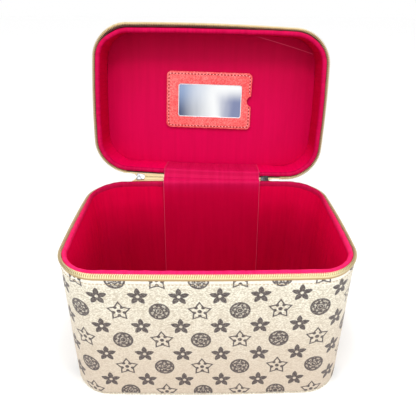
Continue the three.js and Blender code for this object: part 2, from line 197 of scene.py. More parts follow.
def smoothed(points, rounds=1, closed=False):
    """A run of points with its corners cut."""
    points = np.asarray(points, float)
    for _ in range(rounds):
        following = np.roll(points, -1, 0) if closed else points[1:]
        start = points if closed else points[:-1]
        cut = np.stack([start * 0.75 + following * 0.25, start * 0.25 + following * 0.75], 1)
        cut = cut.reshape(-1, points.shape[1])
        points = cut if closed else np.concatenate([points[:1], cut, points[-1:]])
    return points


def unit(vectors):
    """Vectors scaled to length 1."""
    return vectors / np.linalg.norm(vectors, axis=-1, keepdims=True)


def run_along(points):
    """How far along a run of points each of them lies."""
    return np.append(0, np.cumsum(np.linalg.norm(np.diff(points, axis=0), axis=1)))


def sampled(values, run, at):
    """Vectors known at the distances run, read off at other distances."""
    return np.stack([np.interp(at, run, column) for column in values.T], -1)


def looped(points):
    """A run of points that ends where it starts."""
    return np.vstack([points, points[:1]])


def circle(count):
    """That many angles evenly round a circle."""
    return np.arange(count) * 2 * math.pi / count


def repeated(vector, count):
    """The same vector in every row."""
    return np.tile(np.asarray(vector, float), (count, 1))


def rounded_loop(x0, y0, x1, y1, radius, steps=6):
    """A rectangle with rounded corners, anticlockwise."""
    loop = []
    for cx, cy, start in ((x1 - radius, y0 + radius, -90), (x1 - radius, y1 - radius, 0),
                          (x0 + radius, y1 - radius, 90), (x0 + radius, y0 + radius, 180)):
        for k in range(steps + 1):
            angle = math.radians(start + 90 * k / steps)
            loop.append((cx + radius * math.cos(angle), cy + radius * math.sin(angle)))
    return np.array(loop)


# ---------------------------------------------------------------- meshes


def add_mesh(name, points, faces, material, uvs=None, sharp=50, merge=False):
    """A new mesh object from points in millimetres. uvs holds one (u, v) in millimetres per corner."""
    mesh = bpy.data.meshes.new(name)
    mesh.from_pydata((np.asarray(points) * MM).tolist(), [], [list(map(int, face)) for face in faces])
    if uvs is not None:
        mesh.uv_layers.new(name="UVMap").data.foreach_set("uv", (np.asarray(uvs, float) * MM).ravel())
    work = bmesh.new()
    work.from_mesh(mesh)
    if merge:
        bmesh.ops.remove_doubles(work, verts=work.verts, dist=1e-6)
    bmesh.ops.recalc_face_normals(work, faces=work.faces)
    work.to_mesh(mesh)
    work.free()
    mesh.shade_smooth()
    mesh.set_sharp_from_angle(angle=math.radians(sharp))
    mesh.materials.append(material)
    made = bpy.data.objects.new(name, mesh)
    scene.collection.objects.link(made)
    return made


def uv_grid(u, v):
    """A grid of (u, v) pairs."""
    return np.stack(np.meshgrid(u, v, indexing="ij"), -1)


def grid_mesh(name, points, material, uv, wrap_u=False, wrap_v=False, caps=False, sharp=50):
    """A surface from a (n, m, 3) grid of points. uv is a grid with one more row or column where it wraps."""
    n, m = points.shape[:2]
    i, j = uv_grid(np.arange(n if wrap_u else n - 1), np.arange(m if wrap_v else m - 1)).reshape(-1, 2).T
    corners = [(i, j), (i + 1, j), (i + 1, j + 1), (i, j + 1)]
    faces = np.stack([(a % n) * m + b % m for a, b in corners], -1).tolist()
    uvs = np.stack([uv[a, b] for a, b in corners], 1).reshape(-1, 2)
    if caps:
        for row in (0, n - 1):
            faces.append([row * m + k for k in range(m)])
            uvs = np.concatenate([uvs, uv[row, :m]])
    return add_mesh(name, points.reshape(-1, 3), faces, material, uvs, sharp)


def band(name, section, material, s=None, shift=None, lid=False):
    """A closed cross-section of (offset, height) pairs carried round the outline, or along the stations s."""
    section = np.asarray(section, float)
    whole = s is None
    s = loop_stations() if whole else s
    offset, height = (np.broadcast_to(section[:, k], (len(s), len(section))) for k in (0, 1))
    if shift is not None:
        d_offset, d_height = shift(s[:, None], offset, height)
        offset, height = offset + d_offset, height + d_height
    points = place(s[:, None], offset, height)
    uv = uv_grid(np.append(s, -s[0]) if whole else s, np.append(section[:, 1], section[0, 1]))
    return grid_mesh(name, opened(points) if lid else points, material, uv, wrap_u=whole, wrap_v=True,
                     caps=not whole)


def dish(name, offset, low, material, rise, lid=False):
    """A closed pad inside the outline: flat on one face, with its other face risen by rise(x, y, rim
    share)."""
    x, y, _, _ = outline(loop_stations(4.0), offset)
    share = (1 - np.linspace(0, 1, 26) ** 1.6)[:-1]
    xs, ys = np.outer(share, x), np.outer(share, y)
    n, m = xs.shape
    face = low + rise(xs, ys, np.repeat(share[:, None], m, 1))
    middle = low + rise(np.zeros(1), np.zeros(1), np.zeros(1))[0]
    rings = [np.stack([xs, ys, z], -1).reshape(-1, 3) for z in (face, np.full_like(xs, low))]
    points = np.concatenate(rings + [[[0, 0, middle], [0, 0, low]]])
    pairs = [(j, (j + 1) % m) for j in range(m)]
    faces = []
    for base, centre in ((0, 2 * n * m), (n * m, 2 * n * m + 1)):
        for row in range(base, base + (n - 1) * m, m):
            faces += [[row + a, row + b, row + m + b, row + m + a] for a, b in pairs]
        faces += [[base + (n - 1) * m + a, base + (n - 1) * m + b, centre] for a, b in pairs]
    faces += [[a, b, n * m + b, n * m + a] for a, b in pairs]
    uvs = np.array([points[k, :2] for face in faces for k in face])
    return add_mesh(name, opened(points) if lid else points, faces, material, uvs)


def tubes(name, centres, along, normals, length, radius, material):
    """Many short stitches: each a small tapered cord lying along its tangent and bowed up along its
    normal."""
    along, normals = unit(along), unit(normals)
    across = np.cross(normals, along)
    t = np.array([-1, -0.82, -0.35, 0.35, 0.82, 1.0]) * length / 2
    thick = radius * np.array([0.25, 0.75, 1, 1, 0.75, 0.25])
    up = radius * np.array([-0.9, -0.1, 0.35, 0.35, -0.1, -0.9])
    sides = circle(6)
    ring = (along[:, None, None] * t[None, :, None, None]
            + normals[:, None, None] * (up[:, None] + thick[:, None] * np.sin(sides))[None, :, :, None]
            + across[:, None, None] * (thick[:, None] * np.cos(sides))[None, :, :, None])
    stitch = [[i + j, i + (j + 1) % 6, i + 6 + (j + 1) % 6, i + 6 + j] for i in range(0, 30,
                                                                                      6) for j in range(6)]
    stitch += [list(range(6)), list(range(30, 36))]
    faces = [[36 * k + corner for corner in face] for k in range(len(centres)) for face in stitch]
    return add_mesh(name, (centres[:, None, None] + ring).reshape(-1, 3), faces, material)


def stitch_line(name, path, normals, material, pitch=3.3, length=2.5, radius=0.28, closed=True, turn=None,
                phase=0.5):
    """Stitches spaced evenly along a path of points."""
    if closed:
        path, normals = looped(path), looped(normals)
    run = run_along(path)
    count = max(2, int(run[-1] / pitch))
    at = (np.arange(count) + phase) * run[-1] / count
    centres, facing = sampled(path, run, at), sampled(normals, run, at)
    tangents = sampled(path, run, np.minimum(at + 0.6, run[-1])) - sampled(path, run, np.maximum(at - 0.6, 0))
    if turn is not None:
        tops, ends, centres = turn(centres + facing), turn(centres + tangents), turn(centres)
        tangents, facing = ends - centres, tops - centres
    return tubes(name, centres, tangents, facing, length, radius, material)


COIL_PITCH, COIL_STEPS = 1.9, 12


def coil(name, centre, outwards, upwards, material, tall, wide=0.8, wire=0.3, phase=0.0, turn=None):
    """A zip's coil along a dense run of centre points, with a core cord through it."""
    run = run_along(centre)
    t = np.linspace(0, run[-1], int(run[-1] / COIL_PITCH * COIL_STEPS))
    c, n, w = (sampled(values, run, t) for values in (centre, outwards, upwards))
    angle = (2 * math.pi * t / COIL_PITCH + phase)[:, None]
    radial = n * np.cos(angle) * wide + w * np.sin(angle) * tall
    line, out = c + radial, unit(radial)
    side = np.cross(unit(np.gradient(line, axis=0)), out)
    corner = circle(5)[:, None]
    points = line[:, None] + wire * (out[:, None] * np.cos(corner) + side[:, None] * np.sin(corner))
    corner = circle(6)[:, None]
    core = c[::4, None] + n[::4, None] * 0.5 * wide * np.cos(corner) + w[::4,
                                                                         None] * 0.72 * tall * np.sin(corner)
    made = []
    for label, grid, stuff in ((name, points, material), (name + "_cord", core, COIL_CORE)):
        uv = uv_grid(np.linspace(0, run[-1], grid.shape[0]), np.arange(grid.shape[1] + 1.0))
        grid = grid if turn is None else turn(grid)
        made.append(grid_mesh(label, grid, stuff, uv, wrap_v=True, caps=True, sharp=80))
    return made


def rod(name, centres, radius, material, sides, turn=None, closed=False):
    """A round bar along a run of points that lies in one plane."""
    centres = np.asarray(centres, float)
    tangent = np.roll(centres, -1, 0) - np.roll(centres, 1, 0) if closed else np.gradient(centres, axis=0)
    tangent = unit(tangent)
    plane_normal = np.linalg.svd(centres - centres.mean(0))[2][2]
    side = unit(np.cross(tangent, plane_normal))
    other = np.cross(tangent, side)
    angle = circle(sides)[:, None]
    points = centres[:, None] + radius * (side[:, None] * np.cos(angle) + other[:, None] * np.sin(angle))
    uv = uv_grid(np.arange(len(centres) + 1.0), np.arange(sides + 1.0))
    points = points if turn is None else turn(points)
    return grid_mesh(name, points, material, uv, wrap_u=closed, wrap_v=True, caps=not closed, sharp=60)


def two_faced(name, front, back, u, v, material):
    """A closed sheet from its two faces, each a grid of points at u by v."""
    uv = uv_grid(u, v)
    uv = np.concatenate([uv, uv[:, ::-1], uv[:, :1]], 1)
    return grid_mesh(name, np.concatenate([front, back[:, ::-1]], 1), material, uv, wrap_v=True, caps=True)


def filled(name, loops, thickness, bevel, material, locate):
    """A flat piece cut to closed loops of (x, y), the first the outside and the rest holes, with soft
    edges."""
    curve = bpy.data.curves.new(name, "CURVE")
    curve.dimensions = "2D"
    curve.fill_mode = "BOTH"
    curve.extrude = thickness / 2 - bevel
    curve.bevel_depth = bevel
    curve.bevel_resolution = 2
    curve.offset = -bevel
    for loop in loops:
        spline = curve.splines.new("POLY")
        spline.points.add(len(loop) - 1)
        spline.points.foreach_set("co", np.column_stack([loop, np.zeros(len(loop)),
                                                         np.ones(len(loop))]).ravel())
        spline.use_cyclic_u = True
    holder = bpy.data.objects.new(name + "_outline", curve)
    scene.collection.objects.link(holder)
    bpy.context.view_layer.update()
    mesh = bpy.data.meshes.new_from_object(holder.evaluated_get(bpy.context.evaluated_depsgraph_get()))
    points = np.array([v.co for v in mesh.vertices])
    faces = [list(p.vertices) for p in mesh.polygons]
    bpy.data.objects.remove(holder)
    bpy.data.curves.remove(curve)
    bpy.data.meshes.remove(mesh)
    uvs = np.array([points[k, :2] for face in faces for k in face])
    return add_mesh(name, locate(points), faces, material, uvs, merge=True)


def joined_pieces(name, parts):
    """Several meshes as one object."""
    work = bmesh.new()
    for part in parts:
        work.from_mesh(part.data)
    work.to_mesh(parts[0].data)
    work.free()
    for part in parts[1:]:
        bpy.data.objects.remove(part)
    parts[0].name = name
    return parts[0]


# ---------------------------------------------------------------- materials


def colour(red, green, blue):
    """A colour given in 8-bit screen values, as the shader's linear values."""
    parts = (red / 255, green / 255, blue / 255)
    return (*(c / 12.92 if c <= 0.04045 else ((c + 0.055) / 1.055) ** 2.4 for c in parts), 1.0)


class Value:
    """An output of a shader node. Arithmetic with it adds math nodes."""

    def __init__(self, shader, socket):
        self.shader, self.socket = shader, socket

    def __add__(self, other):
        return self.shader.math("ADD", self, other)

    def __sub__(self, other):
        return self.shader.math("SUBTRACT", self, other)

    def __rsub__(self, other):
        return self.shader.math("SUBTRACT", other, self)

    def __mul__(self, other):
        return self.shader.math("MULTIPLY", self, other)

    def __truediv__(self, other):
        return self.shader.math("DIVIDE", self, other)

    def __pow__(self, other):
        return self.shader.math("POWER", self, other)

    def __abs__(self):
        return self.shader.math("ABSOLUTE", self)


class Shader:
    """A material being built: a principled shader and the nodes that feed it."""

    def __init__(self, name, **settings):
        self.material = bpy.data.materials.new(name)
        self.material.use_nodes = True
        self.tree = self.material.node_tree
        self.bsdf = self.tree.nodes["Principled BSDF"]
        for key, value in settings.items():
            self.bsdf.inputs[key.replace("_", " ")].default_value = value

    def feed(self, socket, value):
        """Links a value to a socket, or sets a constant on it."""
        if isinstance(value, Value):
            self.tree.links.new(value.socket, socket)
        else:
            socket.default_value = value

    def node(self, kind, settings=None, out=0, **inputs):
        """Adds a node and returns one of its outputs. i3=... feeds the input numbered 3."""
        made = self.tree.nodes.new("ShaderNode" + kind)
        for key, value in (settings or {}).items():
            setattr(made, key, value)
        for key, value in inputs.items():
            numbered = key[0] == "i" and key[1:].isdigit()
            self.feed(made.inputs[int(key[1:]) if numbered else key.replace("_", " ")], value)
        return Value(self, made.outputs[out])

    def math(self, operation, a, b=0.0):
        return self.node("Math", {"operation": operation}, i0=a, i1=b)

    def most(self, first, *others):
        """The largest of several values."""
        for other in others:
            first = self.math("MAXIMUM", first, other)
        return first

    def ramp(self, value, low, high, to_low=0.0, to_high=1.0):
        """A soft passage from to_low at low to to_high at high."""
        return self.node("MapRange", {"interpolation_type": "SMOOTHSTEP"}, "Result", Value=value,
                         From_Min=low,
                         From_Max=high, To_Min=to_low, To_Max=to_high)

    def mix(self, share, a, b):
        """From colour a to colour b. A plain colour is given in 8-bit screen values."""
        a, b = (end if isinstance(end, Value) else colour(*end) for end in (a, b))
        return self.node("Mix", {"data_type": "RGBA"}, 2, i0=share, i6=a, i7=b)

    def coordinates(self, kind="UV", scale=(1, 1, 1)):
        return self.node("Mapping", Vector=self.node("TexCoord", out=kind), Scale=scale)

    def split(self, where):
        """The x, y and z of coordinates."""
        first = self.node("SeparateXYZ", Vector=where)
        return [Value(self, socket) for socket in first.socket.node.outputs]

    def noise(self, where, scale, detail=2.0, rough=0.5):
        return self.node("TexNoise", Vector=where, Scale=scale, Detail=detail, Roughness=rough)

    def wave(self, where, scale, direction, distortion, detail=1.0, detail_scale=1.0):
        return self.node("TexWave", {"bands_direction": direction}, "Fac", Vector=where, Scale=scale,
                         Distortion=distortion, Detail=detail, Detail_Scale=detail_scale)

    def bump(self, height, distance, strength, **under):
        return self.node("Bump", Height=height, Distance=distance, Strength=strength, **under)

    def finish(self, base, rough=None, normal=None):
        for key, value in (("Base Color", base), ("Roughness", rough), ("Normal", normal)):
            if value is not None:
                self.feed(self.bsdf.inputs[key], value)
        return self.material


def leather_grain(sh, scale, wavy):
    """Height of an embossed leather, 0 to 1: low pebbles, with a share of fine wavy wrinkles."""
    where = sh.coordinates("UV", (scale, 1.25 * scale, 1.0))
    drift = sh.node("TexNoise", out="Color", Vector=where, Scale=420.0, Detail=1.0)
    bent = sh.node("VectorMath", {"operation": "MULTIPLY_ADD"}, i0=drift, i1=(0.0016, 0.0016, 0.0), i2=where)
    wave = sh.wave(bent, 210.0, "Y", 2.0, 1.5, 2.0)
    long = sh.node("Mapping", Vector=bent, Scale=(1.0 - 1.2 * wavy, 1.0, 1.0))
    cells = sh.node("TexVoronoi", {"feature": "F1"}, "Distance", Vector=long, Scale=900.0, Randomness=1.0)
    return wave * wavy + (1.0 - cells * 1.3) * (1.0 - wavy)


def motif_fold(sh, u, v):
    """A motif's cell folded into one fifth: distances along and across the nearest arm, and the radius."""
    radius = sh.math("SQRT", u * u + v * v)
    fifth = 2 * math.pi / 5
    part = sh.math("FRACT", sh.math("ARCTAN2", u, v) / fifth + 10.5)
    part = abs((part - 0.5) * fifth)
    return radius * sh.math("COSINE", part), radius * sh.math("SINE", part), radius


def cell(sh, value, first, pitch):
    """Distance from the nearest point of a row, in millimetres, and that point's number."""
    spot = (value - first) / pitch + 0.5
    return (sh.math("FRACT", spot) - 0.5) * pitch, sh.math("FLOOR", spot)


PRINT_PITCH_X, PRINT_PITCH_Z = 34.8, 33.6
PRINT_FIRST_X, PRINT_FIRST_Z = 9.8, 122.0
PRINT_BETWEEN_X, PRINT_BETWEEN_Z = 17.6, 16.2
PRINT_SLANT, PRINT_TILT = 0.03, 0.0375
PRINT_SOFT = 0.22
STAR_TIP, STAR_INNER, STAR_LINE, STAR_MIDDLE = 11.2, 6.4, 1.3, 1.9
DISC, FLOWER_MIDDLE, FLOWER_HOLE = 9.1, 3.7, 1.5


def printed_share(sh, u, v, wall):
    """Where the leatherette is printed: plain flowers in rows, with stars and speckled discs between them."""
    soft = PRINT_SOFT
    if wall:
        tilt = sh.node("Clamp", Value=u, Min=0.0, Max=HALF_WIDTH) * PRINT_TILT
        v = v - tilt * sh.node("Clamp", Value=(v - 21.0) / 101.0)
    u = u - (PRINT_FIRST_Z - v) * PRINT_SLANT
    x, _ = cell(sh, u, PRINT_FIRST_X, PRINT_PITCH_X)
    z, _ = cell(sh, v, PRINT_FIRST_Z, PRINT_PITCH_Z)
    along, across, radius = motif_fold(sh, x, z)
    petal = (abs(along - 4.7) / 4.5) ** 1.5 + (across / 2.5) ** 1.5
    flower = sh.most(sh.ramp(petal, 1.08, 0.88), sh.ramp(radius, FLOWER_MIDDLE + soft, FLOWER_MIDDLE - soft))
    flower = flower * sh.ramp(radius, FLOWER_HOLE - soft, FLOWER_HOLE + soft)
    x, column = cell(sh, u, PRINT_FIRST_X - PRINT_BETWEEN_X, PRINT_PITCH_X)
    z, row = cell(sh, v, PRINT_FIRST_Z - PRINT_BETWEEN_Z, PRINT_PITCH_Z)
    odd = sh.math("FLOORED_MODULO", column + row + 1.0, 2.0)
    along, across, radius = motif_fold(sh, x, z)
    # the star: a line from an arm's tip to the inner corner, thickened towards the corner, and a dot
    inner_x, inner_y = STAR_INNER * math.cos(math.pi / 5), STAR_INNER * math.sin(math.pi / 5)
    length = math.hypot(STAR_TIP - inner_x, inner_y)
    edge = (along - STAR_TIP) * (inner_y / length) + across * ((STAR_TIP - inner_x) / length)
    inside = sh.ramp(edge, soft, -soft)
    line = sh.ramp(edge, -STAR_LINE - soft, -STAR_LINE + soft) * inside
    thick = sh.ramp(across - along * 0.32, -0.2, 0.3) * inside * sh.ramp(edge, -3.2, -2.6)
    star = sh.most(line, thick, sh.ramp(radius, STAR_MIDDLE + soft, STAR_MIDDLE - soft))
    # the disc: dark, with light dots, a thin light ring and light speckles
    dots = (along - 4.6) ** 2.0 + across ** 2.0
    outer_dots = (along - 5.7) ** 2.0 + (across - 3.3) ** 2.0
    speckles = sh.ramp(sh.noise(sh.node("CombineXYZ", i0=u, i1=v), 0.55, 1.0), 0.58, 0.66)
    light = sh.most(sh.ramp(dots, 1.3, 0.5), sh.ramp(outer_dots, 0.9, 0.3),
                    sh.ramp(abs(radius - 2.5), 0.4, 0.1),
                    speckles * sh.ramp(radius, 8.0, 7.4))
    disc = sh.ramp(radius, DISC + soft, DISC - soft) * (1.0 - light * 0.7)
    return sh.math("MINIMUM", flower + (star * odd + disc * (1.0 - odd)), 1.0)


def leatherette(name, printed=False, tint=(247, 243, 226), dark=(239, 233, 215), crease=(176, 162, 138),
                scale=1.0,
                wavy=0.3, wall=False):
    """Embossed cream leatherette, with or without its print. UV is in metres. On a wall it carries painted
    shade, darker away from the zip's seam, and a painted highlight close to the seam.
    """
    sh = Shader(name, Specular_IOR_Level=0.42, Coat_Weight=0.06, Coat_Roughness=0.35)
    where = sh.coordinates()
    grain = leather_grain(sh, scale, wavy)
    base = sh.mix(sh.ramp(sh.noise(where, 28.0, 3.0), 0.35, 0.7), tint, dark)
    base = sh.mix(sh.ramp(grain, 0.62, 0.22, 0.0, 0.68), base, crease)
    rough = sh.ramp(grain, 0.2, 0.9, 0.62, 0.46)
    if printed:
        u, v = (part * 1000.0 for part in sh.split(where)[:2])
        worn = sh.ramp(sh.noise(where, 700.0), 0.3, 0.75, 1.0, 0.84) * sh.ramp(grain, 0.2, 0.8, 1.0, 0.92)
        ink = printed_share(sh, u, v, wall) * worn
        if wall:
            # Painted shade and highlight: the wall darkens away from the zip's seam, and lightens close to
            # it, where its rounded top edge catches the light.
            from_seam = abs(v - CLOSING)
            base = sh.mix(sh.ramp(from_seam, 0.0, 130.0, 0.0, 0.7), base, (198, 178, 158))
            base = sh.mix(sh.ramp(from_seam, 16.0, 7.5, 0.0, 0.6), base, (255, 252, 244))
        base = sh.mix(ink, base, (56, 42, 46))
        rough = rough - ink * 0.08
    normal = sh.bump(grain, 0.00035, 0.55)
    return sh.finish(base, rough, sh.bump(sh.noise(where, 60.0), 0.0012, 0.12, Normal=normal))


def satin(name, light, dark, sheen, streak=26.0, other=None, axis=2, span=(0, 1), crease=None, hems=None):
    """Woven satin: fine threads, with streaks where the floats catch the light. It passes into the other
    pair of colours over that span of one axis, in metres at rest: painted light and shade, the other pair
    lighter for some parts and darker for others. crease is a faint line pressed into it, by its two ends,
    painted lighter as a highlight, and hems are the two values of u where it is turned in, painted lighter
    along them as a highlight."""
    sh = Shader(name, Specular_IOR_Level=0.05, Sheen_Weight=sheen, Sheen_Roughness=0.4,
                Sheen_Tint=colour(*light))
    where, long = sh.coordinates(), sh.coordinates("UV", (1.0, 0.055, 1.0))
    streaks, fine = sh.noise(long, streak * 9.0, 4.0, 0.6), sh.noise(long, streak * 40.0, 2.0, 0.6)
    # Painted light and shade: the colours pass into the other pair along one axis, lighter for some parts and
    # darker for others.
    if other is not None:
        share = sh.ramp(sh.split(sh.coordinates("Object"))[axis], *span)
        light, dark = (sh.mix(share, a, b) for a, b in zip((light, dark), other))
    base = sh.mix(sh.ramp(streaks, 0.3, 0.7), dark, light)
    base = sh.mix(sh.ramp(sh.noise(where, 14.0), 0.3, 0.75, 0.0, 0.35), base, dark)
    u, v, _ = sh.split(where)
    # Painted highlight: a faint lighter line along the crease.
    if crease is not None:
        (start_u, start_v), (end_u, end_v) = crease
        du, dv = end_u - start_u, end_v - start_v
        length = math.hypot(du, dv)
        u, v = u - start_u, v - start_v
        away = u * (dv / length) - v * (du / length) + (u / du) ** 2.0 * 0.002
        line = sh.ramp(abs(away), 0.0007, 0.0002) * sh.ramp(u, 0.0, 0.012)
        base = sh.mix(line * 0.45, base, (236, 90, 130))
    # Painted highlight: lighter along the turned-in hems.
    if hems is not None:
        away = sh.math("MINIMUM", u - hems[0], hems[1] - u)
        base = sh.mix(sh.ramp(away, 0.0009, 0.0004, 0.0, 0.6), base, (226, 84, 122))
    weave = sh.wave(where, 620.0, "X", 0.6) * sh.wave(where, 480.0, "Y", 0.6)
    normal = sh.bump(streaks, 0.0008, 0.17, Normal=sh.bump(weave, 0.00012, 0.5))
    return sh.finish(base, sh.ramp(fine, 0.3, 0.7, 0.43, 0.6), normal)


def side_shade_share(sh):
    """Painted shade: how far the zip has darkened to its khaki end colour, most along the two ends of the
    case, where its sides turn away from the light.
    """
    return sh.ramp(abs(sh.split(sh.coordinates("Object"))[0]), 0.1, 0.126, 0.0, 0.9)


def zip_cloth(name, light, dark, ends, near, full, none):
    """The woven tape of the zip: ribs along the tape and a herringbone across. It darkens to the ends'
    colour at the case's two ends, a painted shade where the case's sides turn away from the light, and to
    the near colour towards the leather, from no share of it to all between two heights, a painted shadow
    along that edge."""
    sh = Shader(name, Specular_IOR_Level=0.25, Sheen_Weight=0.25, Sheen_Roughness=0.5)
    where = sh.coordinates()
    weave = sh.wave(where, 420.0, "Y", 0.4) * 0.6 + sh.wave(where, 520.0, "DIAGONAL", 0.5, 2.0) * 0.4
    base = sh.mix(sh.ramp(weave, 0.25, 0.8), dark, light)
    base = sh.mix(sh.ramp(sh.noise(where, 45.0), 0.35, 0.8, 0.0, 0.4), base, dark)
    # Painted shade: darker towards the case's two ends.
    base = sh.mix(side_shade_share(sh), base, ends)
    # Painted shadow: darker in a band along the edge towards the leather.
    base = sh.mix(sh.ramp(sh.split(where)[1], none, full), base, near)
    return sh.finish(base, sh.ramp(weave, 0.0, 1.0, 0.85, 0.7), sh.bump(weave, 0.0002, 0.6))


def mottled(name, light, dark, scale, rough, metal=0.0, bump=0.0001, kind="Object", ends=None, **settings):
    """A plain stuff with small changes of colour, roughness and height: metal, thread, plastic or board.
    ends is a painted shade colour, which it passes into at the case's two ends.
    """
    sh = Shader(name, Metallic=metal, **settings)
    where = sh.coordinates(kind)
    broad, fine = sh.noise(where, scale, 3.0), sh.noise(where, scale * 7.0)
    base = sh.mix(sh.ramp(broad, 0.3, 0.7), dark, light)
    # Painted shade: darker towards the case's two ends.
    if ends is not None:
        base = sh.mix(side_shade_share(sh), base, ends)
    return sh.finish(base, sh.ramp(fine, 0.25, 0.75, rough * 0.8, rough * 1.25), sh.bump(fine, bump, 0.6))


def mirror_glass():
    """Silvered glass with a painted reflection of a pale room: white in the middle and to the right, bluish
    and darker to the left and below, bluish grey at the lower right, with a faint smear.
    """
    sh = Shader("silvered_glass", Metallic=1.0, Specular_IOR_Level=0.5)
    where = sh.coordinates("Object")
    smear = sh.noise(where, 22.0, 3.0)
    x, _, z = sh.split(where)
    x = x + sh.noise(sh.coordinates("Object", (1.0, 1.0, 0.12)), 60.0) * 0.016
    # Painted reflection: bluish and darker below on the left, passing into white to the right.
    shade = sh.mix(sh.ramp(z, 0.242, 0.210), (146, 168, 206), (82, 94, 126))
    base = sh.mix(sh.ramp(x, -0.030, 0.022), shade, (254, 255, 255))
    # Painted reflection: a bluish grey patch at the lower right.
    base = sh.mix(sh.ramp(x, 0.018, 0.042) * sh.ramp(z, 0.243, 0.224), base, (138, 146, 180))
    base = sh.mix(sh.ramp(smear, 0.5, 0.85, 0.0, 0.25), base, (170, 178, 204))
    return sh.finish(base, sh.ramp(smear, 0.35, 0.8, 0.03, 0.09), sh.bump(smear, 0.0003, 0.08))


PRINT = leatherette("printed_leatherette", True, wall=True)
PRINT_TOP = leatherette("printed_leatherette_top", True)
CREAM = leatherette("cream_leatherette", crease=(192, 176, 154))
CORAL = leatherette("coral_leatherette", False, (255, 140, 136), (255, 114, 112), (208, 24, 38), 0.8, 0.0)
# Painted shade: the box's lining is darker low in the box and lighter towards the rim.
BODY_SATIN = satin("crimson_satin", (199, 0, 60), (188, 0, 55), 0.08, other=((225, 0, 68), (213, 0, 63)),
                   span=(0.06, 0.135))
# Painted shade: the lid's panel is darker towards the top of the open lid; its crease line is a painted
# highlight.
PANEL_SATIN = satin("lid_satin", (211, 0, 77), (202, 0, 72), 0.0, streak=18.0,
                    other=((184, 0, 58), (176, 0, 54)),
                    span=(0.19, 0.31), crease=((0.05, -0.079), (0.116, -0.064)))
# Painted shade: the lid's wall lining is darker towards the top of the open lid.
WALL_SATIN = satin("lid_wall_satin", (232, 0, 86), (220, 0, 80), 0.0, other=((196, 0, 54), (182, 0, 48)),
                   span=(0.155, 0.19))
# Painted light: the flap is lighter and pinker where it goes over the rim, with painted highlights along its
# hems.
FLAP_SATIN = satin("flap_satin", (203, 0, 62), (194, 0, 57), 0.05, streak=20.0,
                   other=((206, 16, 82), (194, 8, 72)),
                   span=(0.13, 0.148), hems=(FLAP_LOW * MM, FLAP_HIGH * MM))
# Painted shade: the box's binding is darker towards the back of the case.
RIM_SATIN = satin("rim_satin", (243, 44, 110), (232, 24, 90), 0.1, streak=50.0,
                  other=((200, 24, 80), (188, 12, 68)), axis=1, span=(-0.075, 0.09))
# Painted shade: the lid's binding is a darker copy of the box's binding satin.
LID_RIM_SATIN = satin("lid_rim_satin", (204, 10, 78), (178, 0, 62), 0.05, streak=50.0)
# Painted shade: khaki at the case's two ends; painted shadow along the tape's lower edge by the leather.
TAPE = zip_cloth("zip_tape", (240, 226, 176), (220, 198, 144), (146, 116, 74), (184, 152, 100), 0.1396,
                 0.1407)
# Painted shade: khaki at the case's two ends; painted shadow along the web's edge by the rim.
WEB_TAPE = zip_cloth("zip_tape_end", (246, 232, 184), (206, 182, 132), (206, 182, 132), (156, 118, 86),
                     0.1416, 0.1432)
# Painted shade: the coil's ends colour, at the case's two ends.
COIL = mottled("zip_coil_nylon", (255, 251, 212), (250, 240, 190), 300.0, 0.38, kind="UV",
               ends=(188, 166, 124),
               Specular_IOR_Level=0.5)
# Painted shade: the lid's half of the coil is a darker copy of the same nylon.
LID_COIL = mottled("lid_coil_nylon", (232, 214, 168), (212, 190, 142), 300.0, 0.38, kind="UV",
                   ends=(196, 174, 130),
                   Specular_IOR_Level=0.5)
# Painted shade: the core cord is darker than the coil, so the gaps between the coil's turns read as shade; it
# too is darker at the case's two ends.
COIL_CORE = mottled("zip_coil_core", (216, 192, 134), (192, 166, 112), 300.0, 0.6, kind="UV",
                    ends=(150, 128, 90))
COIL_SHADE = mottled("zip_coil_shaded", (196, 176, 120), (150, 128, 80), 300.0, 0.45, kind="UV")
THREAD = mottled("cream_thread", (214, 198, 168), (190, 170, 136), 1500.0, 0.7, Sheen_Weight=0.2)
PINK_THREAD = mottled("pink_thread", (255, 196, 190), (248, 160, 156), 1500.0, 0.7, Sheen_Weight=0.2)
# Painted shade: dark tubes between the pocket's stitches stand for the shade in the stitch holes.
HOLE = mottled("stitch_hole", (172, 30, 44), (140, 20, 34), 1500.0, 0.8)
BRIGHT = mottled("bright_metal", (228, 230, 233), (142, 146, 154), 320.0, 0.2, metal=1.0, bump=0.00003)
# Painted reflection: the right slider is a dark copy of the sliders' metal, for the dark it reflects.
DARK = mottled("dark_metal", (66, 64, 66), (30, 29, 31), 400.0, 0.3, metal=0.6, bump=0.00003)
# Painted shade: the fibreboard is given darker than its own brown, so its edge in the gap under the lid's
# binding reads as shadow.
BOARD = mottled("fibreboard", (104, 66, 56), (76, 46, 42), 120.0, 0.85, bump=0.0003)
# Painted highlight: the clear film's edge is given near white, for the light it catches.
FILM_EDGE_HIGHLIGHT = mottled("film_edge_painted_highlight", (246, 248, 250), (226, 230, 236), 400.0, 0.3, bump=0.00002)
MIRROR = mirror_glass()


# ---------------------------------------------------------------- camera and light


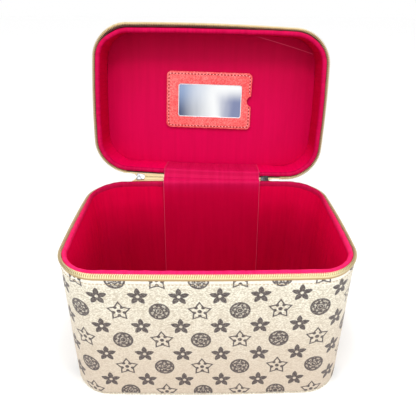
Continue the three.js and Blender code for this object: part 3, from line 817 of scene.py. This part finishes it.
def add_camera():
    """The camera, where the photograph was taken from."""
    elevation, azimuth, roll = math.radians(25.403), math.radians(-0.863), math.radians(0.318)
    target, distance = Vector((0.458, 0.0, 195.5)) * MM, 0.3998
    level = math.cos(elevation)
    back = Vector((math.sin(azimuth) * level, -math.cos(azimuth) * level, math.sin(elevation)))
    right = Vector((math.cos(azimuth), math.sin(azimuth), 0))
    up = back.cross(right)
    rolled_right = right * math.cos(roll) + up * math.sin(roll)
    rolled_up = up * math.cos(roll) - right * math.sin(roll)
    data = bpy.data.cameras.new("camera")
    data.sensor_width, data.lens, data.shift_y = 36.0, 36.177, -0.0817
    data.clip_start, data.clip_end = 0.01, 50
    camera = bpy.data.objects.new("camera", data)
    turn = Matrix((rolled_right, rolled_up, back)).transposed().to_4x4()
    camera.matrix_world = Matrix.Translation(target + back * distance) @ turn
    scene.collection.objects.link(camera)
    scene.camera = camera


def add_area(name, where, aim, size, power):
    """A soft light of that size in metres, aimed at a point."""
    data = bpy.data.lights.new(name, "AREA")
    data.shape, data.size, data.energy = "DISK", size, power
    light = bpy.data.objects.new(name, data)
    light.location = where
    light.rotation_euler = (Vector(aim) - Vector(where)).to_track_quat("-Z", "Y").to_euler()
    scene.collection.objects.link(light)


def add_studio():
    """A plain white floor and room, with soft lights."""
    scene.view_settings.view_transform = "Standard"
    scene.world = bpy.data.worlds.new("studio")
    scene.world.use_nodes = True
    background = scene.world.node_tree.nodes["Background"]
    background.inputs["Color"].default_value = (1, 1, 1, 1)
    background.inputs["Strength"].default_value = 1.0
    sh = Shader("studio_floor", Roughness=0.9, Specular_IOR_Level=0.1)
    paper = sh.mix(sh.noise(sh.coordinates("Object"), 30.0), (253, 253, 253), (255, 255, 255))
    xs = np.linspace(-4000, 4000, 24)
    flat = uv_grid(xs, xs)
    level = np.full(flat.shape[:2] + (1,), -0.2)
    floor = grid_mesh("studio_floor", np.concatenate([flat, level], -1), sh.finish(paper), flat)
    add_area("key", (-0.5, -0.9, 1.3), (0, 0, 0.12), 0.9, 4)
    add_area("fill", (0.9, -0.7, 0.7), (0, 0, 0.1), 0.8, 1.5)
    add_area("top", (0.0, 0.1, 1.6), (0, 0.0, 0.1), 1.2, 2)
    add_area("inside", (0.0, -0.12, 0.62), (0, 0.01, 0.06), 0.12, 0.8)


add_camera()
add_studio()


# ---------------------------------------------------------------- which body a piece rides on, what it stands for, and finishes for CAD nodes


def hand_over(pieces, body, slot, *nodes):
    """Pieces that ride on a body, and the first of which stands for CAD nodes, which are hidden. slot is
    not used."""
    pieces = list(pieces) if isinstance(pieces, (list, tuple)) else [pieces]
    for piece in pieces:
        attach(piece, body)
    if nodes:
        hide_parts(*nodes)
    return pieces[0]


def dress(nodes, material):
    """Gives CAD nodes that stay a finished material."""
    for node in nodes:
        mesh = frame["nodes"][node].data
        mesh.materials.clear()
        mesh.materials.append(material)


# ---------------------------------------------------------------- sections of the rim, and what shapes them

STITCH_HEIGHT = 134.6
SEAM_GROOVE = (1.6, 0.9, 0.45, 0.0, -0.45, -0.9, -1.6)
COVER_TOP = [(-0.1, 137.3), (0.05, 138.0), (0.45, 138.3), (0.85, 138.05), (1.0, 137.4)]
TAPE_SECTION = [(0.1, 133.2), (0.45, 133.2), (0.45, 137.0), (0.6, 138.2), (1.0, 140.0), (1.15, 141.4),
                (1.1, 142.6),
                (0.7, 143.6), (0.35, 143.4), (0.35, 142.2), (0.35, 140.2), (0.15, 138.6), (0.1, 137.4)]
BINDING_SECTION = [(-1.1, 141.6), (-0.8, 142.9), (-1.1, 144.0), (-2.1, 144.7), (-3.4, 144.95), (-4.6, 144.9),
                   (-5.6, 144.3), (-6.2, 143.2), (-6.4, 141.8), (-6.2, 140.4), (-5.7, 139.2), (-5.2, 138.8),
                   (-4.4, 139.6), (-3.2, 141.6)]
LID_BINDING_SECTION = [(-1.7, 141.6), (-1.45, 142.9), (-1.7, 144.0)] + BINDING_SECTION[3:]
COIL_HEIGHT, RIM_COIL_HEIGHT, RIM_COIL_TALL = 143.4, 143.05, 1.85
COIL_OFFSET, COIL_WIDE = 0.75, 1.25
LID_COIL_OFFSET, LID_COIL_WIDE = 0.4, 1.55
ZIP_END_X = {"left": -96.8, "right": 87.2}
BINDING_GAP, BINDING_STEP = 0.6, 1.6


def cover_shift(groove, seed):
    """Small waves in a covered wall, and the groove that its stitches pull in."""
    def shift(s, offset, height):
        waves = 0.22 * ripple(s, height, 70, seed) + 0.07 * ripple(s, height, 16, seed + 1)
        dip = -0.22 * np.exp(-((height - groove) / 0.7) ** 2)
        return np.where(offset > 0.8, waves * 0.6 + dip, 0), np.zeros_like(height)
    return shift


def thinning(s):
    """How far the padding has thinned out towards the back of the box, where the lid has pulled on it."""
    return smooth_share(outline(s, 0.0)[1], 10, HALF_DEPTH - 4)


def narrowing(s):
    """How much narrower the binding is at the sides and front corners of the box, in millimetres."""
    return 1.2 * smooth_share(np.abs(outline(s, 0.0)[0]), 84, 114) * (1 - thinning(s))


def lining_shift(seed, size=0.3, thin=False):
    """The soft unevenness of satin over padding."""
    def shift(s, offset, height):
        waves = size * ripple(s, height, 60, seed, 0.5) + 0.3 * size * ripple(s, height, 9, seed + 1, 0.12)
        if thin:
            waves = waves + 2.3 * thinning(s) * smooth_share(height, 112, 140)
            waves = waves + narrowing(s) * smooth_share(height, 122, 140)
        return np.where(offset < -4.5, waves, 0), np.zeros_like(waves)
    return shift


def binding_shift(seed, thin=False):
    """The small puckers of a gathered binding. On the box it thins out and rises towards the back, and on
    the lid it has come away from the zip along the front."""
    def shift(s, offset, height):
        inward = 0.16 * ripple(s, height, 7, seed)
        upward = 0.14 * ripple(s, 0 * height, 6, seed + 1)
        if thin:
            inward = inward + (2.8 * thinning(s) + narrowing(s)) * smooth_share(-offset, 3.0, 5.0)
            upward = upward + 2.1 * thinning(s) * smooth_share(height, 139, 143)
        else:
            x, y, _, _ = outline(s, 0.0)
            inward = inward - 2.5 * smooth_share(-y, 62, 80) * (1 - 0.65 * smooth_share(x, -10, 90))
        return inward, upward
    return shift


# ---------------------------------------------------------------- the box and the lid


def add_cover(name, low, seed, lid=False):
    """The leatherette wall of the box down to a height, or of the lid by its mirror image."""
    section = COVER_TOP + [(1.0, STITCH_HEIGHT + d) for d in SEAM_GROOVE]
    section += [(1.0, h) for h in np.linspace(STITCH_HEIGHT - 5, low + 4.5, 8 if lid else 26)]
    section += [(0.98, low + 2.6), (0.85, low + 1.2), (0.45, low + 0.35), (-0.1, low), (-0.1, low + 20)]
    section = mirrored_section(section) if lid else section
    groove = mirrored(STITCH_HEIGHT) if lid else STITCH_HEIGHT
    return band(name, section, PRINT, shift=cover_shift(groove, seed), lid=lid)


def add_rim_stitches(name, lid=False):
    """The row of stitches that holds the zip to the wall."""
    s = loop_stations(1.5)
    path = place(s, 0.86, mirrored(STITCH_HEIGHT) if lid else STITCH_HEIGHT)
    return stitch_line(name, path, outward(s, 1.0), THREAD, radius=0.4, turn=opened if lid else None)


def add_tape(name, slot_node, lid=False):
    """The zip's tape round the rim, up to the zip's two ends."""
    section = mirrored_section(TAPE_SECTION) if lid else TAPE_SECTION
    tape = band(name, section, TAPE, rim_stations(ZIP_END_X["left"], ZIP_END_X["right"]), lid=lid)
    hand_over(tape, "lid" if lid else "case_body", "zip_cloth", slot_node)


def add_rim_coil(name, lid=False):
    """The zip's coil round the rim, up to the zip's two ends."""
    s = rim_stations(ZIP_END_X["left"], ZIP_END_X["right"], 1.0)
    height = mirrored(RIM_COIL_HEIGHT) if lid else RIM_COIL_HEIGHT
    offset, wide = (LID_COIL_OFFSET, LID_COIL_WIDE) if lid else (COIL_OFFSET, COIL_WIDE)
    # The lid's coil takes the darker copy of the nylon: painted shade.
    return coil(name, place(s, offset, height), outward(s, offset), repeated(UP, len(s)),
                LID_COIL if lid else COIL,
                RIM_COIL_TALL, wide, wire=0.4, turn=opened if lid else None)


def add_box():
    """Everything of the box but its half of the zip's closed ends."""
    shell = add_cover("box_cover", 1.5, 11)
    hand_over([shell, add_rim_stitches("box_stitches")], "case_body", "leatherette", "body_cover")
    sole = dish("box_sole", 0.9, 0.0, CREAM, lambda x, y, share: 1.3 - 0.6 * share ** 120)
    hand_over(sole, "case_body", "leatherette", "base_cover")
    add_tape("box_zip_tape", "body_zip_tape")
    hand_over(add_rim_coil("box_zip_coil"), "case_body", "zip_plastic", "body_zip_coil")
    round_flap = rim_stations(FLAP_LOW - BINDING_GAP, FLAP_HIGH + BINDING_GAP, BINDING_STEP)
    binding = band("box_binding", smoothed(BINDING_SECTION, 1, True), RIM_SATIN, round_flap,
                   binding_shift(21, True))
    hand_over(binding, "case_body", "rim_satin", "body_binding")
    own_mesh(binding)
    face = spaced([(-5.6, 140.4), (-6.0, 138), (-6.15, 120), (-6.2, 60), (-6.05, 12), (-5.7, 6.0)], 5)
    section = np.concatenate([face, [(-3.2, 6.0), (-3.2, 140.4)]])
    lining = band("box_lining", section, BODY_SATIN, shift=lining_shift(31, thin=True))
    hand_over(lining, "case_body", "satin", "body_lining")
    floor = dish("box_floor_lining", -6.3, 4.0, BODY_SATIN,
                 lambda x, y, share: 1.5 + 0.8 * (1 - share ** 10) + 0.12 * ripple(x, y, 34, 41))
    hand_over(floor, "case_body", "satin", "base_lining")
    dress(("base_board", "body_wall_board"), BOARD)


def add_lid():
    """Everything of the lid but its half of the zip's closed ends, the pocket and the handle."""
    shell = add_cover("lid_cover", mirrored(190.2), 51, lid=True)
    hand_over([shell, add_rim_stitches("lid_stitches", True)], "lid", "leatherette", "lid_side_cover")
    top = dish("lid_top", 0.75, 189.9, PRINT_TOP,
               lambda x, y, share: 1.3 - 0.9 * share ** 60 + 0.05 * ripple(x, y, 60, 61), lid=True)
    hand_over(top, "lid", "leatherette", "lid_top_cover")
    add_tape("lid_zip_tape_cloth", "lid_zip_tape", True)
    hand_over(add_rim_coil("lid_zip_coils", True), "lid", "zip_plastic", "lid_zip_coil")
    round_flap = rim_stations(FLAP_LOW - BINDING_GAP, FLAP_HIGH + BINDING_GAP, BINDING_STEP)
    section = smoothed(mirrored_section(LID_BINDING_SECTION), 1, True)
    binding = band("lid_rim_binding", section, LID_RIM_SATIN, round_flap, binding_shift(71), lid=True)
    hand_over(binding, "lid", "rim_satin", "lid_binding")
    face = spaced([(-5.6, 150.2), (-6.0, 152.6), (-6.1, 165), (-6.05, 182), (-5.9, 186.9)], 4)
    section = np.concatenate([face, [(-3.2, 186.9), (-3.2, 150.2)]])
    lining = band("lid_wall_lining", section, WALL_SATIN, shift=lining_shift(81, 0.25), lid=True)
    hand_over(lining, "lid", "satin", "lid_side_lining")
    panel = dish("lid_panel", -6.1, 187.2, PANEL_SATIN,
                 lambda x, y, share: -(1.7 + 0.55 * (1 - share ** 14) + 0.08
                                       * ripple(x, y, 45, 91)), lid=True)
    hand_over(panel, "lid", "satin", "lid_panel_lining")
    dress(("lid_top_board", "lid_wall_board"), BOARD)


# ---------------------------------------------------------------- what joins them at the back


def crossing(name, x_low, x_high, path, thickness, material, columns, wave, seed, spread=None):
    """A sheet over the hinge. path holds (offset, height, lid share) along it, drawn with the case closed."""
    path = spaced(smoothed(path, 2), 2.2)
    step = unit(np.gradient(path[:, :2], axis=0))
    run = run_along(path[:, :2])
    x = np.linspace(x_low, x_high, columns)
    hem = 1 - 0.45 * np.exp(-(np.minimum(x - x_low, x_high - x) / 0.9) ** 2)
    waves = wave * ripple(x[:, None], run[None], 40, seed, 0.45)
    across = x[:, None] * (1.0 if spread is None else spread(path[None, :, 1]))
    faces = []
    for half in (0.5, -0.5):
        lift = half * thickness * hem[:, None] + waves
        spot = back_place(across, path[:, 0] - step[:, 1] * lift, path[:, 1] + step[:, 0] * lift)
        faces.append(opened(spot, np.broadcast_to(path[:, 2], lift.shape)))
    return two_faced(name, *faces, x, run, material)


def add_flap():
    """The satin flap inside, from the lid's panel over the hinge down the back lining."""
    path = [(-6.9, 15.0, 0), (-6.9, 60.0, 0), (-6.8, 110.0, 0), (-6.0, 128.0, 0), (-5.1, 137.0, 0),
            (-4.7, 142.4, 0),
            (-4.1, 145.2, 0), (-2.6, 146.4, 0), (-0.6, 146.6, 0.04), (1.2, 146.0, 0.25), (2.0, 145.8, 0.5),
            (1.2, 146.4, 0.75), (-0.6, 147.0, 0.98), (-3.0, 147.3, 1), (-5.8, 147.6, 1), (-6.6, 149.4, 1),
            (-6.75, 153.6, 1), (-6.8, 175.0, 1), (-6.8, 184.8, 1)]
    flap = crossing("hinge_flap", FLAP_LOW, FLAP_HIGH, path, 0.9, FLAP_SATIN, 48, 0.3, 101,
                    lambda height: 1 + 0.03 * np.clip((130 - height) / 110, 0, 1))
    middle = (FLAP_LOW + FLAP_HIGH) / 2
    at_back(middle, -0.6, 143.6, 0)
    at_back(middle, -0.6, 147.0, 1)
    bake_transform(flap)
    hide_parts("hinge_flap_lower", "hinge_flap_upper")


def add_strip():
    """The leatherette strip outside, sewn to the box and to the lid."""
    low, high = FLAP_LOW + 0.5, FLAP_HIGH - 0.5
    path = [(1.9, 130.0, 0), (1.9, 138.0, 0), (1.95, 142.4, 0), (2.6, 143.8, 0.12), (3.4, 145.3, 0.5),
            (2.6, 146.8, 0.88),
            (1.95, 148.2, 1), (1.9, 153.0, 1), (1.9, 160.6, 1)]
    strip = crossing("hinge_strip", low, high, path, 1.1, CREAM, 40, 0.06, 111)
    middle = (low + high) / 2
    at_back(middle, 1.95, 142.4, 0)
    at_back(middle, 1.95, 148.2, 1)
    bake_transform(strip)
    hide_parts("hinge_strip_lower", "hinge_strip_upper")
    x = np.linspace(low + 2.5, high - 2.5, 60)
    for body, heights, turn in (("case_body", (132.2, 135.8), None), ("lid", (158.4, 154.8), opened)):
        for k, height in enumerate(heights):
            row = stitch_line(f"strip_stitches_{body}_{k + 1}", back_place(x, 2.42, height),
                              repeated(BACK, len(x)),
                              THREAD, closed=False, turn=turn)
            hand_over(row, body, "leatherette")


WEB_HEIGHTS = np.array([133.4, 137.2, 138.8, 140.2, 141.4, 142.6, 143.4, 144.1, 144.5, 144.75])
WEB_OFFSETS = np.array([0.45, 0.45, 0.5, 0.7, 0.75, 0.8, 0.8, 0.8, 0.8, 0.8])
CLOSED_COIL_OFFSET = 2.0


def zip_share(x, height, sign, mouth, far):
    """How far the box's half of the closed zip goes with the lid: half at its edge, none beyond the
    zip's mouth."""
    gone = np.clip(1.7 * (sign * x - sign * mouth) / (sign * far - sign * mouth), 0, 1) ** 0.6
    return 0.5 * (1 - smooth_share(gone, 0, 1)) * smooth_share(height, 140.6, CLOSING)


def add_zip_end(side):
    """The closed end of the zip beside the flap: its tapes and coils, from the rim to the slider and
    beyond."""
    sign = -1 if side == "left" else 1
    slider = SLIDERS[side]
    mouth, far = slider + sign * 3.4, ZIP_END_X[side] + sign * 3.0
    near = FLAP_LOW - 0.3 if side == "left" else FLAP_HIGH + 0.3
    x = np.linspace(near, far, max(14, int(abs(far - near) / 1.6)))
    halves = []
    for label, upper in (("lower", False), ("upper", True)):
        share = zip_share(x[:, None], WEB_HEIGHTS, sign, mouth, far)
        goes, level = (1 - share, mirrored(WEB_HEIGHTS)) if upper else (share, WEB_HEIGHTS)
        faces = [opened(back_place(x[:, None], WEB_OFFSETS + half, level), goes) for half in (0.32, -0.32)]
        halves.append(two_faced(f"zip_web_{side}_{label}", *faces, x, WEB_HEIGHTS, WEB_TAPE))
        # the coil from the rim to the slider's mouth
        run = np.linspace(ZIP_END_X[side], slider, 60)
        share = zip_share(run, np.full_like(run, CLOSING), sign, mouth, far)
        height = COIL_HEIGHT + 2.4 * share
        away = COIL_OFFSET + (CLOSED_COIL_OFFSET - COIL_OFFSET) * np.clip(2 * share, 0, 1)
        centre = back_place(run, away, mirrored(height) if upper else height)
        goes, ends = 1 - share if upper else share, run_along(centre)

        def turn(points, goes=goes, ends=ends):
            rows = np.interp(np.linspace(0, ends[-1], len(points)), ends, goes)
            return opened(points, np.broadcast_to(rows[:, None], points.shape[:2]))
        halves += coil(f"zip_lead_{side}_{label}", centre, repeated(BACK, 60), repeated(UP, 60), COIL, 1.3,
                       turn=turn)
    start, end = at_back(slider, 0.8, 142.0, 0), at_back(slider, 0.8, mirrored(142.0), 1)
    for piece in halves:
        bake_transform(piece)
        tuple(start)
        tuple(end)
        "zip_cloth" if "web" in piece.name else "zip_plastic"
    fold = folded(side)
    run = np.linspace(near, slider, 40)
    closed = []
    for k, height in enumerate((CLOSING - 0.62, CLOSING + 0.62)):
        closed += coil(f"zip_closed_{side}_{k + 1}", back_place(run, CLOSED_COIL_OFFSET, height),
                       repeated(BACK, 40),
                       repeated(UP, 40), COIL_SHADE, 1.1, phase=k * math.pi, turn=fold)
    hand_over(closed, "zip_end_" + side, "zip_plastic", "zip_end_" + side)
    add_slider(side, sign, slider, fold)


SLIDER_HALF = [(-4.9, 2.7), (-2.0, 2.9), (0.6, 3.5), (2.6, 4.0), (4.2, 3.8), (4.9, 2.8), (4.4, 1.5),
               (3.5, 0.6)]
SLIDER_LIP = np.array([(-4.6, 2.6), (-2.0, 2.8), (0.6, 3.4), (2.4, 3.8)])
SLIDER_CROWN = np.array([(-3.4, -0.2), (-3.3, 1.2), (-2.6, 2.0), (-1.2, 2.3), (1.0, 2.3), (2.4, 2.0),
                         (3.1, 1.2),
                         (3.2, -0.2)])
TAG_OUTLINE = [(-1.6, -2.2), (-1.6, 2.2), (3.0, 2.9), (9.0, 2.5), (16.0, 2.9), (18.6, 2.2), (18.9, 0.0),
               (18.6, -2.2),
               (16.0, -2.9), (9.0, -2.5), (3.0, -2.9)]


def add_slider(side, sign, slider, fold):
    """A zip slider on the closed coil, and its pull tab."""
    # The right slider's dark metal is a painted reflection of the dark it faces.
    material, slot = (BRIGHT, "bright_metal") if side == "left" else (DARK, "dark_metal")
    base_y = back_place(sign * 75.0, 0.0, 0.0)[1]

    def locate(depth):
        """From (along the slider, across it, thickness) to the case."""
        return lambda p: fold(np.column_stack([slider + sign * p[:, 0], base_y + depth + p[:, 2], CLOSING
                                               + p[:, 1]]))

    loop = smoothed(SLIDER_HALF + [(a, -b) for a, b in SLIDER_HALF[::-1]], 2, True)
    plates = [filled(f"plate_{side}_{k}", [loop], 0.9, 0.3, material, locate(depth))
              for k, depth in enumerate((3.6, 0.03))]
    wedge = smoothed([(1.6, 0.0), (3.2, 0.9), (4.3, 0.0), (3.2, -0.9)], 1, True)
    post = filled(f"post_{side}", [wedge], 3.4, 0.1, material, locate(1.8))
    lips = []
    for flank in (1, -1):
        for depth in (2.85, 0.1):
            line = np.column_stack([slider + sign * SLIDER_LIP[:, 0], np.full(4, base_y + depth),
                                    CLOSING + flank * SLIDER_LIP[:, 1]])
            lips.append(rod(f"lip_{side}_{flank}_{depth}", fold(line), 0.42, material, 8))
    arch = np.column_stack([slider + SLIDER_CROWN[:, 0], base_y + 3.9 + SLIDER_CROWN[:, 1],
                            np.full(8, CLOSING)])
    crown = rod(f"crown_{side}", smoothed(fold(arch), 2), 0.62, material, 8)
    whole = joined_pieces(f"slider_{side}", plates + [post, crown] + lips)
    hand_over(whole, "zip_slider_" + side, slot, "zip_slider_" + side)
    pull_y = base_y + 5.4
    loops = [smoothed(TAG_OUTLINE, 2, True)[::-1], rounded_loop(0.75, -1.3, 3.6, 1.3, 0.8)[::-1],
             rounded_loop(12.2, -1.1, 16.2, 1.1, 1.0)[::-1]]
    tag = filled(f"tag_{side}", loops, 1.15, 0.35, material,
                 lambda p: fold(np.column_stack([slider + p[:, 2], pull_y + p[:, 0], CLOSING + p[:, 1]])))
    line = np.column_stack([np.full(6, slider), np.full(6, pull_y - 0.1), CLOSING
                            + np.linspace(-1.9, 1.9, 6)])
    bar = rod(f"tag_bar_{side}", fold(line), 0.55, material, 8)
    hand_over(joined_pieces(f"pull_{side}", [tag, bar]), "zip_pull_" + side, slot, "zip_pull_" + side)


# ---------------------------------------------------------------- mirror pocket

POCKET = (-53.0, -36.0, 51.0, 33.0)
POCKET_FACE = 181.5
NOTCH_RADIUS = 6.5


def add_pocket():
    """The coral frame with its window and thumb notch, sewn on three sides over the mirror."""
    x0, y0, x1, y1 = POCKET
    middle = (y0 + y1) / 2
    notch = [(x1 + 1 - NOTCH_RADIUS * math.cos(a), middle + NOTCH_RADIUS * math.sin(a))
             for a in np.linspace(-1.35, 1.35, 15)]
    steps = 8
    outer = rounded_loop(x0, y0 + 1.0, x1, y1, 5.5, steps)
    outer = np.vstack([outer[: steps + 1], notch, outer[steps + 1:]])
    window = rounded_loop(-38.8, middle - 19.0, 39.0, middle + 21.0, 3.0)[::-1]
    front = filled("pocket_front", [outer, window], 1.5, 0.5, CORAL,
                   lambda p: opened(p + np.array([0, 0, POCKET_FACE + 0.6])))
    hand_over(front, "lid", "pocket_leatherette", "mirror_pocket_frame")
    rails = []
    for k, (ax, ay, bx, by) in enumerate(((x0 + 5, y0 + 2.8, x1 - 5, y0 + 2.8),
                                          (x0 + 5, y1 - 2.8, x1 - 5, y1 - 2.8),
                                          (x0 + 2.8, y0 + 5, x0 + 2.8, y1 - 5))):
        loop = rounded_loop(ax - 2, ay - 2, bx + 2, by + 2, 1.8)
        rails.append(filled(f"rail_{k}", [loop], 2.3, 0.3, CORAL,
                            lambda p: opened(p + np.array([0, 0, 183.75]))))
    hand_over(joined_pieces("pocket_seam_allowance", rails), "lid", "pocket_leatherette")
    seam = spaced(looped(rounded_loop(x0 + 2.6, y0 + 3.6, x1 - 2.6, y1 - 2.6, 3.6)), 0.6)[:-1]
    at_notch = (seam[:, 0] > x1 - 7) & (abs(seam[:, 1] - middle) < 7.5)
    first = int(np.argmax(at_notch))
    seam = np.roll(seam, -first, 0)[~np.roll(at_notch, -first)]
    path = np.column_stack([seam, np.full(len(seam), POCKET_FACE - 0.3)])
    down = repeated((0.0, 0.0, -1.0), len(path))
    row = stitch_line("pocket_stitches", path, down, PINK_THREAD, 4.0, 2.0, 0.55, False, opened)
    # The dark tubes between the stitches are painted shade in the stitch holes.
    holes = stitch_line("pocket_stitch_holes", path, down, HOLE, 4.0, 2.2, 0.66, False, opened, phase=0.0)
    hand_over([row, holes], "lid", "pocket_leatherette")
    rim = smoothed(rounded_loop(-38.3, middle - 18.5, 38.5, middle + 20.5, 2.6), 1, True)
    rim = np.column_stack([rim, np.full(len(rim), POCKET_FACE + 0.8)])
    # The film's edge is a painted highlight.
    edge = rod("pocket_film_edge", rim, 0.5, FILM_EDGE_HIGHLIGHT, 8, opened, closed=True)
    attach(edge, "lid")
    dress(["mirror_plate"], MIRROR)


# ---------------------------------------------------------------- carry handle

PIVOT_Z = LID_TOP + 6.5
HANG = math.radians(-79)
GRIP_CORNER, GRIP_TOP, GRIP_LEG, GRIP_START, GRIP_WIDE = 16.0, 36.0, 52.0, 7.4, 10.0
GRIP_STITCH = 0.7998  # how deep the grip's stitches lie, as a share of its half thickness


def hung(points):
    """From the handle standing on its pivot line to where it hangs behind the open lid."""
    pivot = np.array([0, 0, PIVOT_Z])
    return opened(turned(points + pivot, np.array([1.0, 0, 0]), pivot, HANG))


def add_grip():
    """The padded grip: an arch of flat section, pinched at its ends, with a sewn edge on both faces."""
    arc = [(-GRIP_LEG + GRIP_CORNER - GRIP_CORNER * math.cos(a), GRIP_TOP - GRIP_CORNER + GRIP_CORNER
            * math.sin(a))
           for a in np.linspace(0, math.pi / 2, 14)]
    half = [(-GRIP_LEG, GRIP_START + d) for d in (0, 0.6, 1.6, 4, 7.6)] + arc
    line = np.array(half + [(x, GRIP_TOP) for x in np.linspace(-30, 30, 19)]
                    + [(-x, z) for x, z in half[::-1]])
    step = unit(np.gradient(line, axis=0))
    across = np.column_stack([-step[:, 1], step[:, 0]])
    angle = circle(32)
    flat = np.sign(np.cos(angle)) * np.abs(np.cos(angle)) ** 0.55
    thick = np.sign(np.sin(angle)) * np.abs(np.sin(angle)) ** 0.75
    run = run_along(line)
    near = np.minimum(run, run[-1] - run)
    taper = 0.82 + 0.18 * np.sqrt(np.clip(near / 1.6, 0, 1))
    swell = 3.1 + 0.4 * np.clip((near - 10) / 60, 0, 1)
    seam = 1 - 0.16 * np.exp(-((np.abs(flat) - 0.76) / 0.07) ** 2)
    spot = line[:, None] + across[:, None] * (flat * (GRIP_WIDE * taper)[:, None])[..., None]
    points = np.stack([spot[..., 0], thick * seam * (swell * taper)[:, None], spot[..., 1]], -1)
    uv = uv_grid(run, np.append(angle, 2 * math.pi) * 5.0)
    pieces = [grid_mesh("handle_leather", hung(points), CREAM, uv, wrap_v=True, caps=True)]
    for row, (edge, face) in enumerate(((7.6, 1), (-7.6, 1), (7.6, -1), (-7.6, -1))):
        sewn = line + across * edge
        path = np.column_stack([sewn[:, 0], face * GRIP_STITCH * swell, sewn[:, 1]])[3:-3]
        pieces.append(stitch_line(f"handle_stitches_{row + 1}", path, repeated((0, face, 0), len(path)),
                                  THREAD,
                                  closed=False, turn=hung))
    hand_over(pieces, "carry_handle", "leatherette", "handle_grip")


def add_tab(side, x):
    """A ring of the handle, and the tab on the lid whose loop it turns in."""
    loop = rounded_loop(x - 12.5, 0.0, x + 12.5, 11.0, 2.2, 5)
    ring = rod(f"ring_{side}", np.column_stack([loop[:, 0], np.zeros(len(loop)), loop[:, 1]]), 1.3, BRIGHT,
               12, hung,
               closed=True)
    hand_over(ring, "carry_handle", "bright_metal", f"handle_ring_{side}")
    foot = filled(f"foot_{side}", [rounded_loop(x - 11, -16, x + 11, 16, 3.0)], 1.5, 0.45, CREAM,
                  lambda p: opened(p + np.array([0, 0, LID_TOP + 1.1])))
    profile = [(-6.2, -5.2), (-4.6, -4.6), (-3.6, -3.2), (-3.5, 0.0)]
    profile += [(-3.5 * math.cos(a), 3.5 * math.sin(a)) for a in np.linspace(0.3, math.pi - 0.3, 10)]
    profile += [(3.5, 0.0), (3.6, -3.2), (4.6, -4.6), (6.2, -5.2), (2.0, -3.6)]
    profile += [(2.1 * math.cos(a), 2.1 * math.sin(a)) for a in np.linspace(-0.4, math.pi + 0.4, 14)]
    section = np.array(profile + [(-2.0, -3.6)])
    xs = x + np.concatenate([[-10.0, -9.7], np.linspace(-9.0, 9.0, 8), [9.7, 10.0]])
    shrink = np.array([0.93, 0.98] + [1.0] * 8 + [0.98, 0.93])
    points = np.stack(np.broadcast_arrays(xs[:, None], section[:, 0] * shrink[:, None], PIVOT_Z
                                          + section[:, 1]), -1)
    uv = uv_grid(xs, run_along(looped(section)))
    pieces = [foot, grid_mesh(f"loop_{side}", opened(points), CREAM, uv, wrap_v=True, caps=True)]
    tab = joined_pieces(f"tab_{side}", pieces)
    edge = spaced(rounded_loop(x - 9, -14, x + 9, 14, 2.0), 0.6)
    path = np.column_stack([edge, np.full(len(edge), LID_TOP + 1.75)])
    row = stitch_line(f"tab_stitches_{side}", path, repeated(UP, len(path)), THREAD, 2.9, 2.1, 0.25,
                      turn=opened)
    hand_over([tab, row], "lid", "leatherette", f"handle_tab_{side}")


def add_rivet(number, x, y):
    """A domed rivet head on a tab."""
    profile = [(3.0, 0.0), (3.0, 0.35), (2.75, 0.75), (2.1, 1.05), (1.2, 1.2), (0.5, 1.25)]
    points = np.array([[(x + r * math.cos(a), y + r * math.sin(a), LID_TOP + 1.9 + h) for a in circle(24)]
                       for r, h in profile])
    rivet = grid_mesh(f"rivet_{number}", opened(points), BRIGHT, uv_grid(np.arange(6.0), np.arange(25.0)),
                      wrap_v=True,
                      caps=True, sharp=40)
    hand_over(rivet, "lid", "bright_metal", f"handle_rivet_{number}")


add_box()
add_lid()
add_flap()
add_strip()
add_zip_end("left")
add_zip_end("right")
add_pocket()
add_grip()
add_tab("left", -GRIP_LEG)
add_tab("right", GRIP_LEG)
for rivet_number, (rivet_x, rivet_y) in enumerate([(x, y) for x in (-GRIP_LEG, GRIP_LEG) for y in (-11.0,
                                                                                                   11.0)]):
    add_rivet(rivet_number + 1, rivet_x, rivet_y)
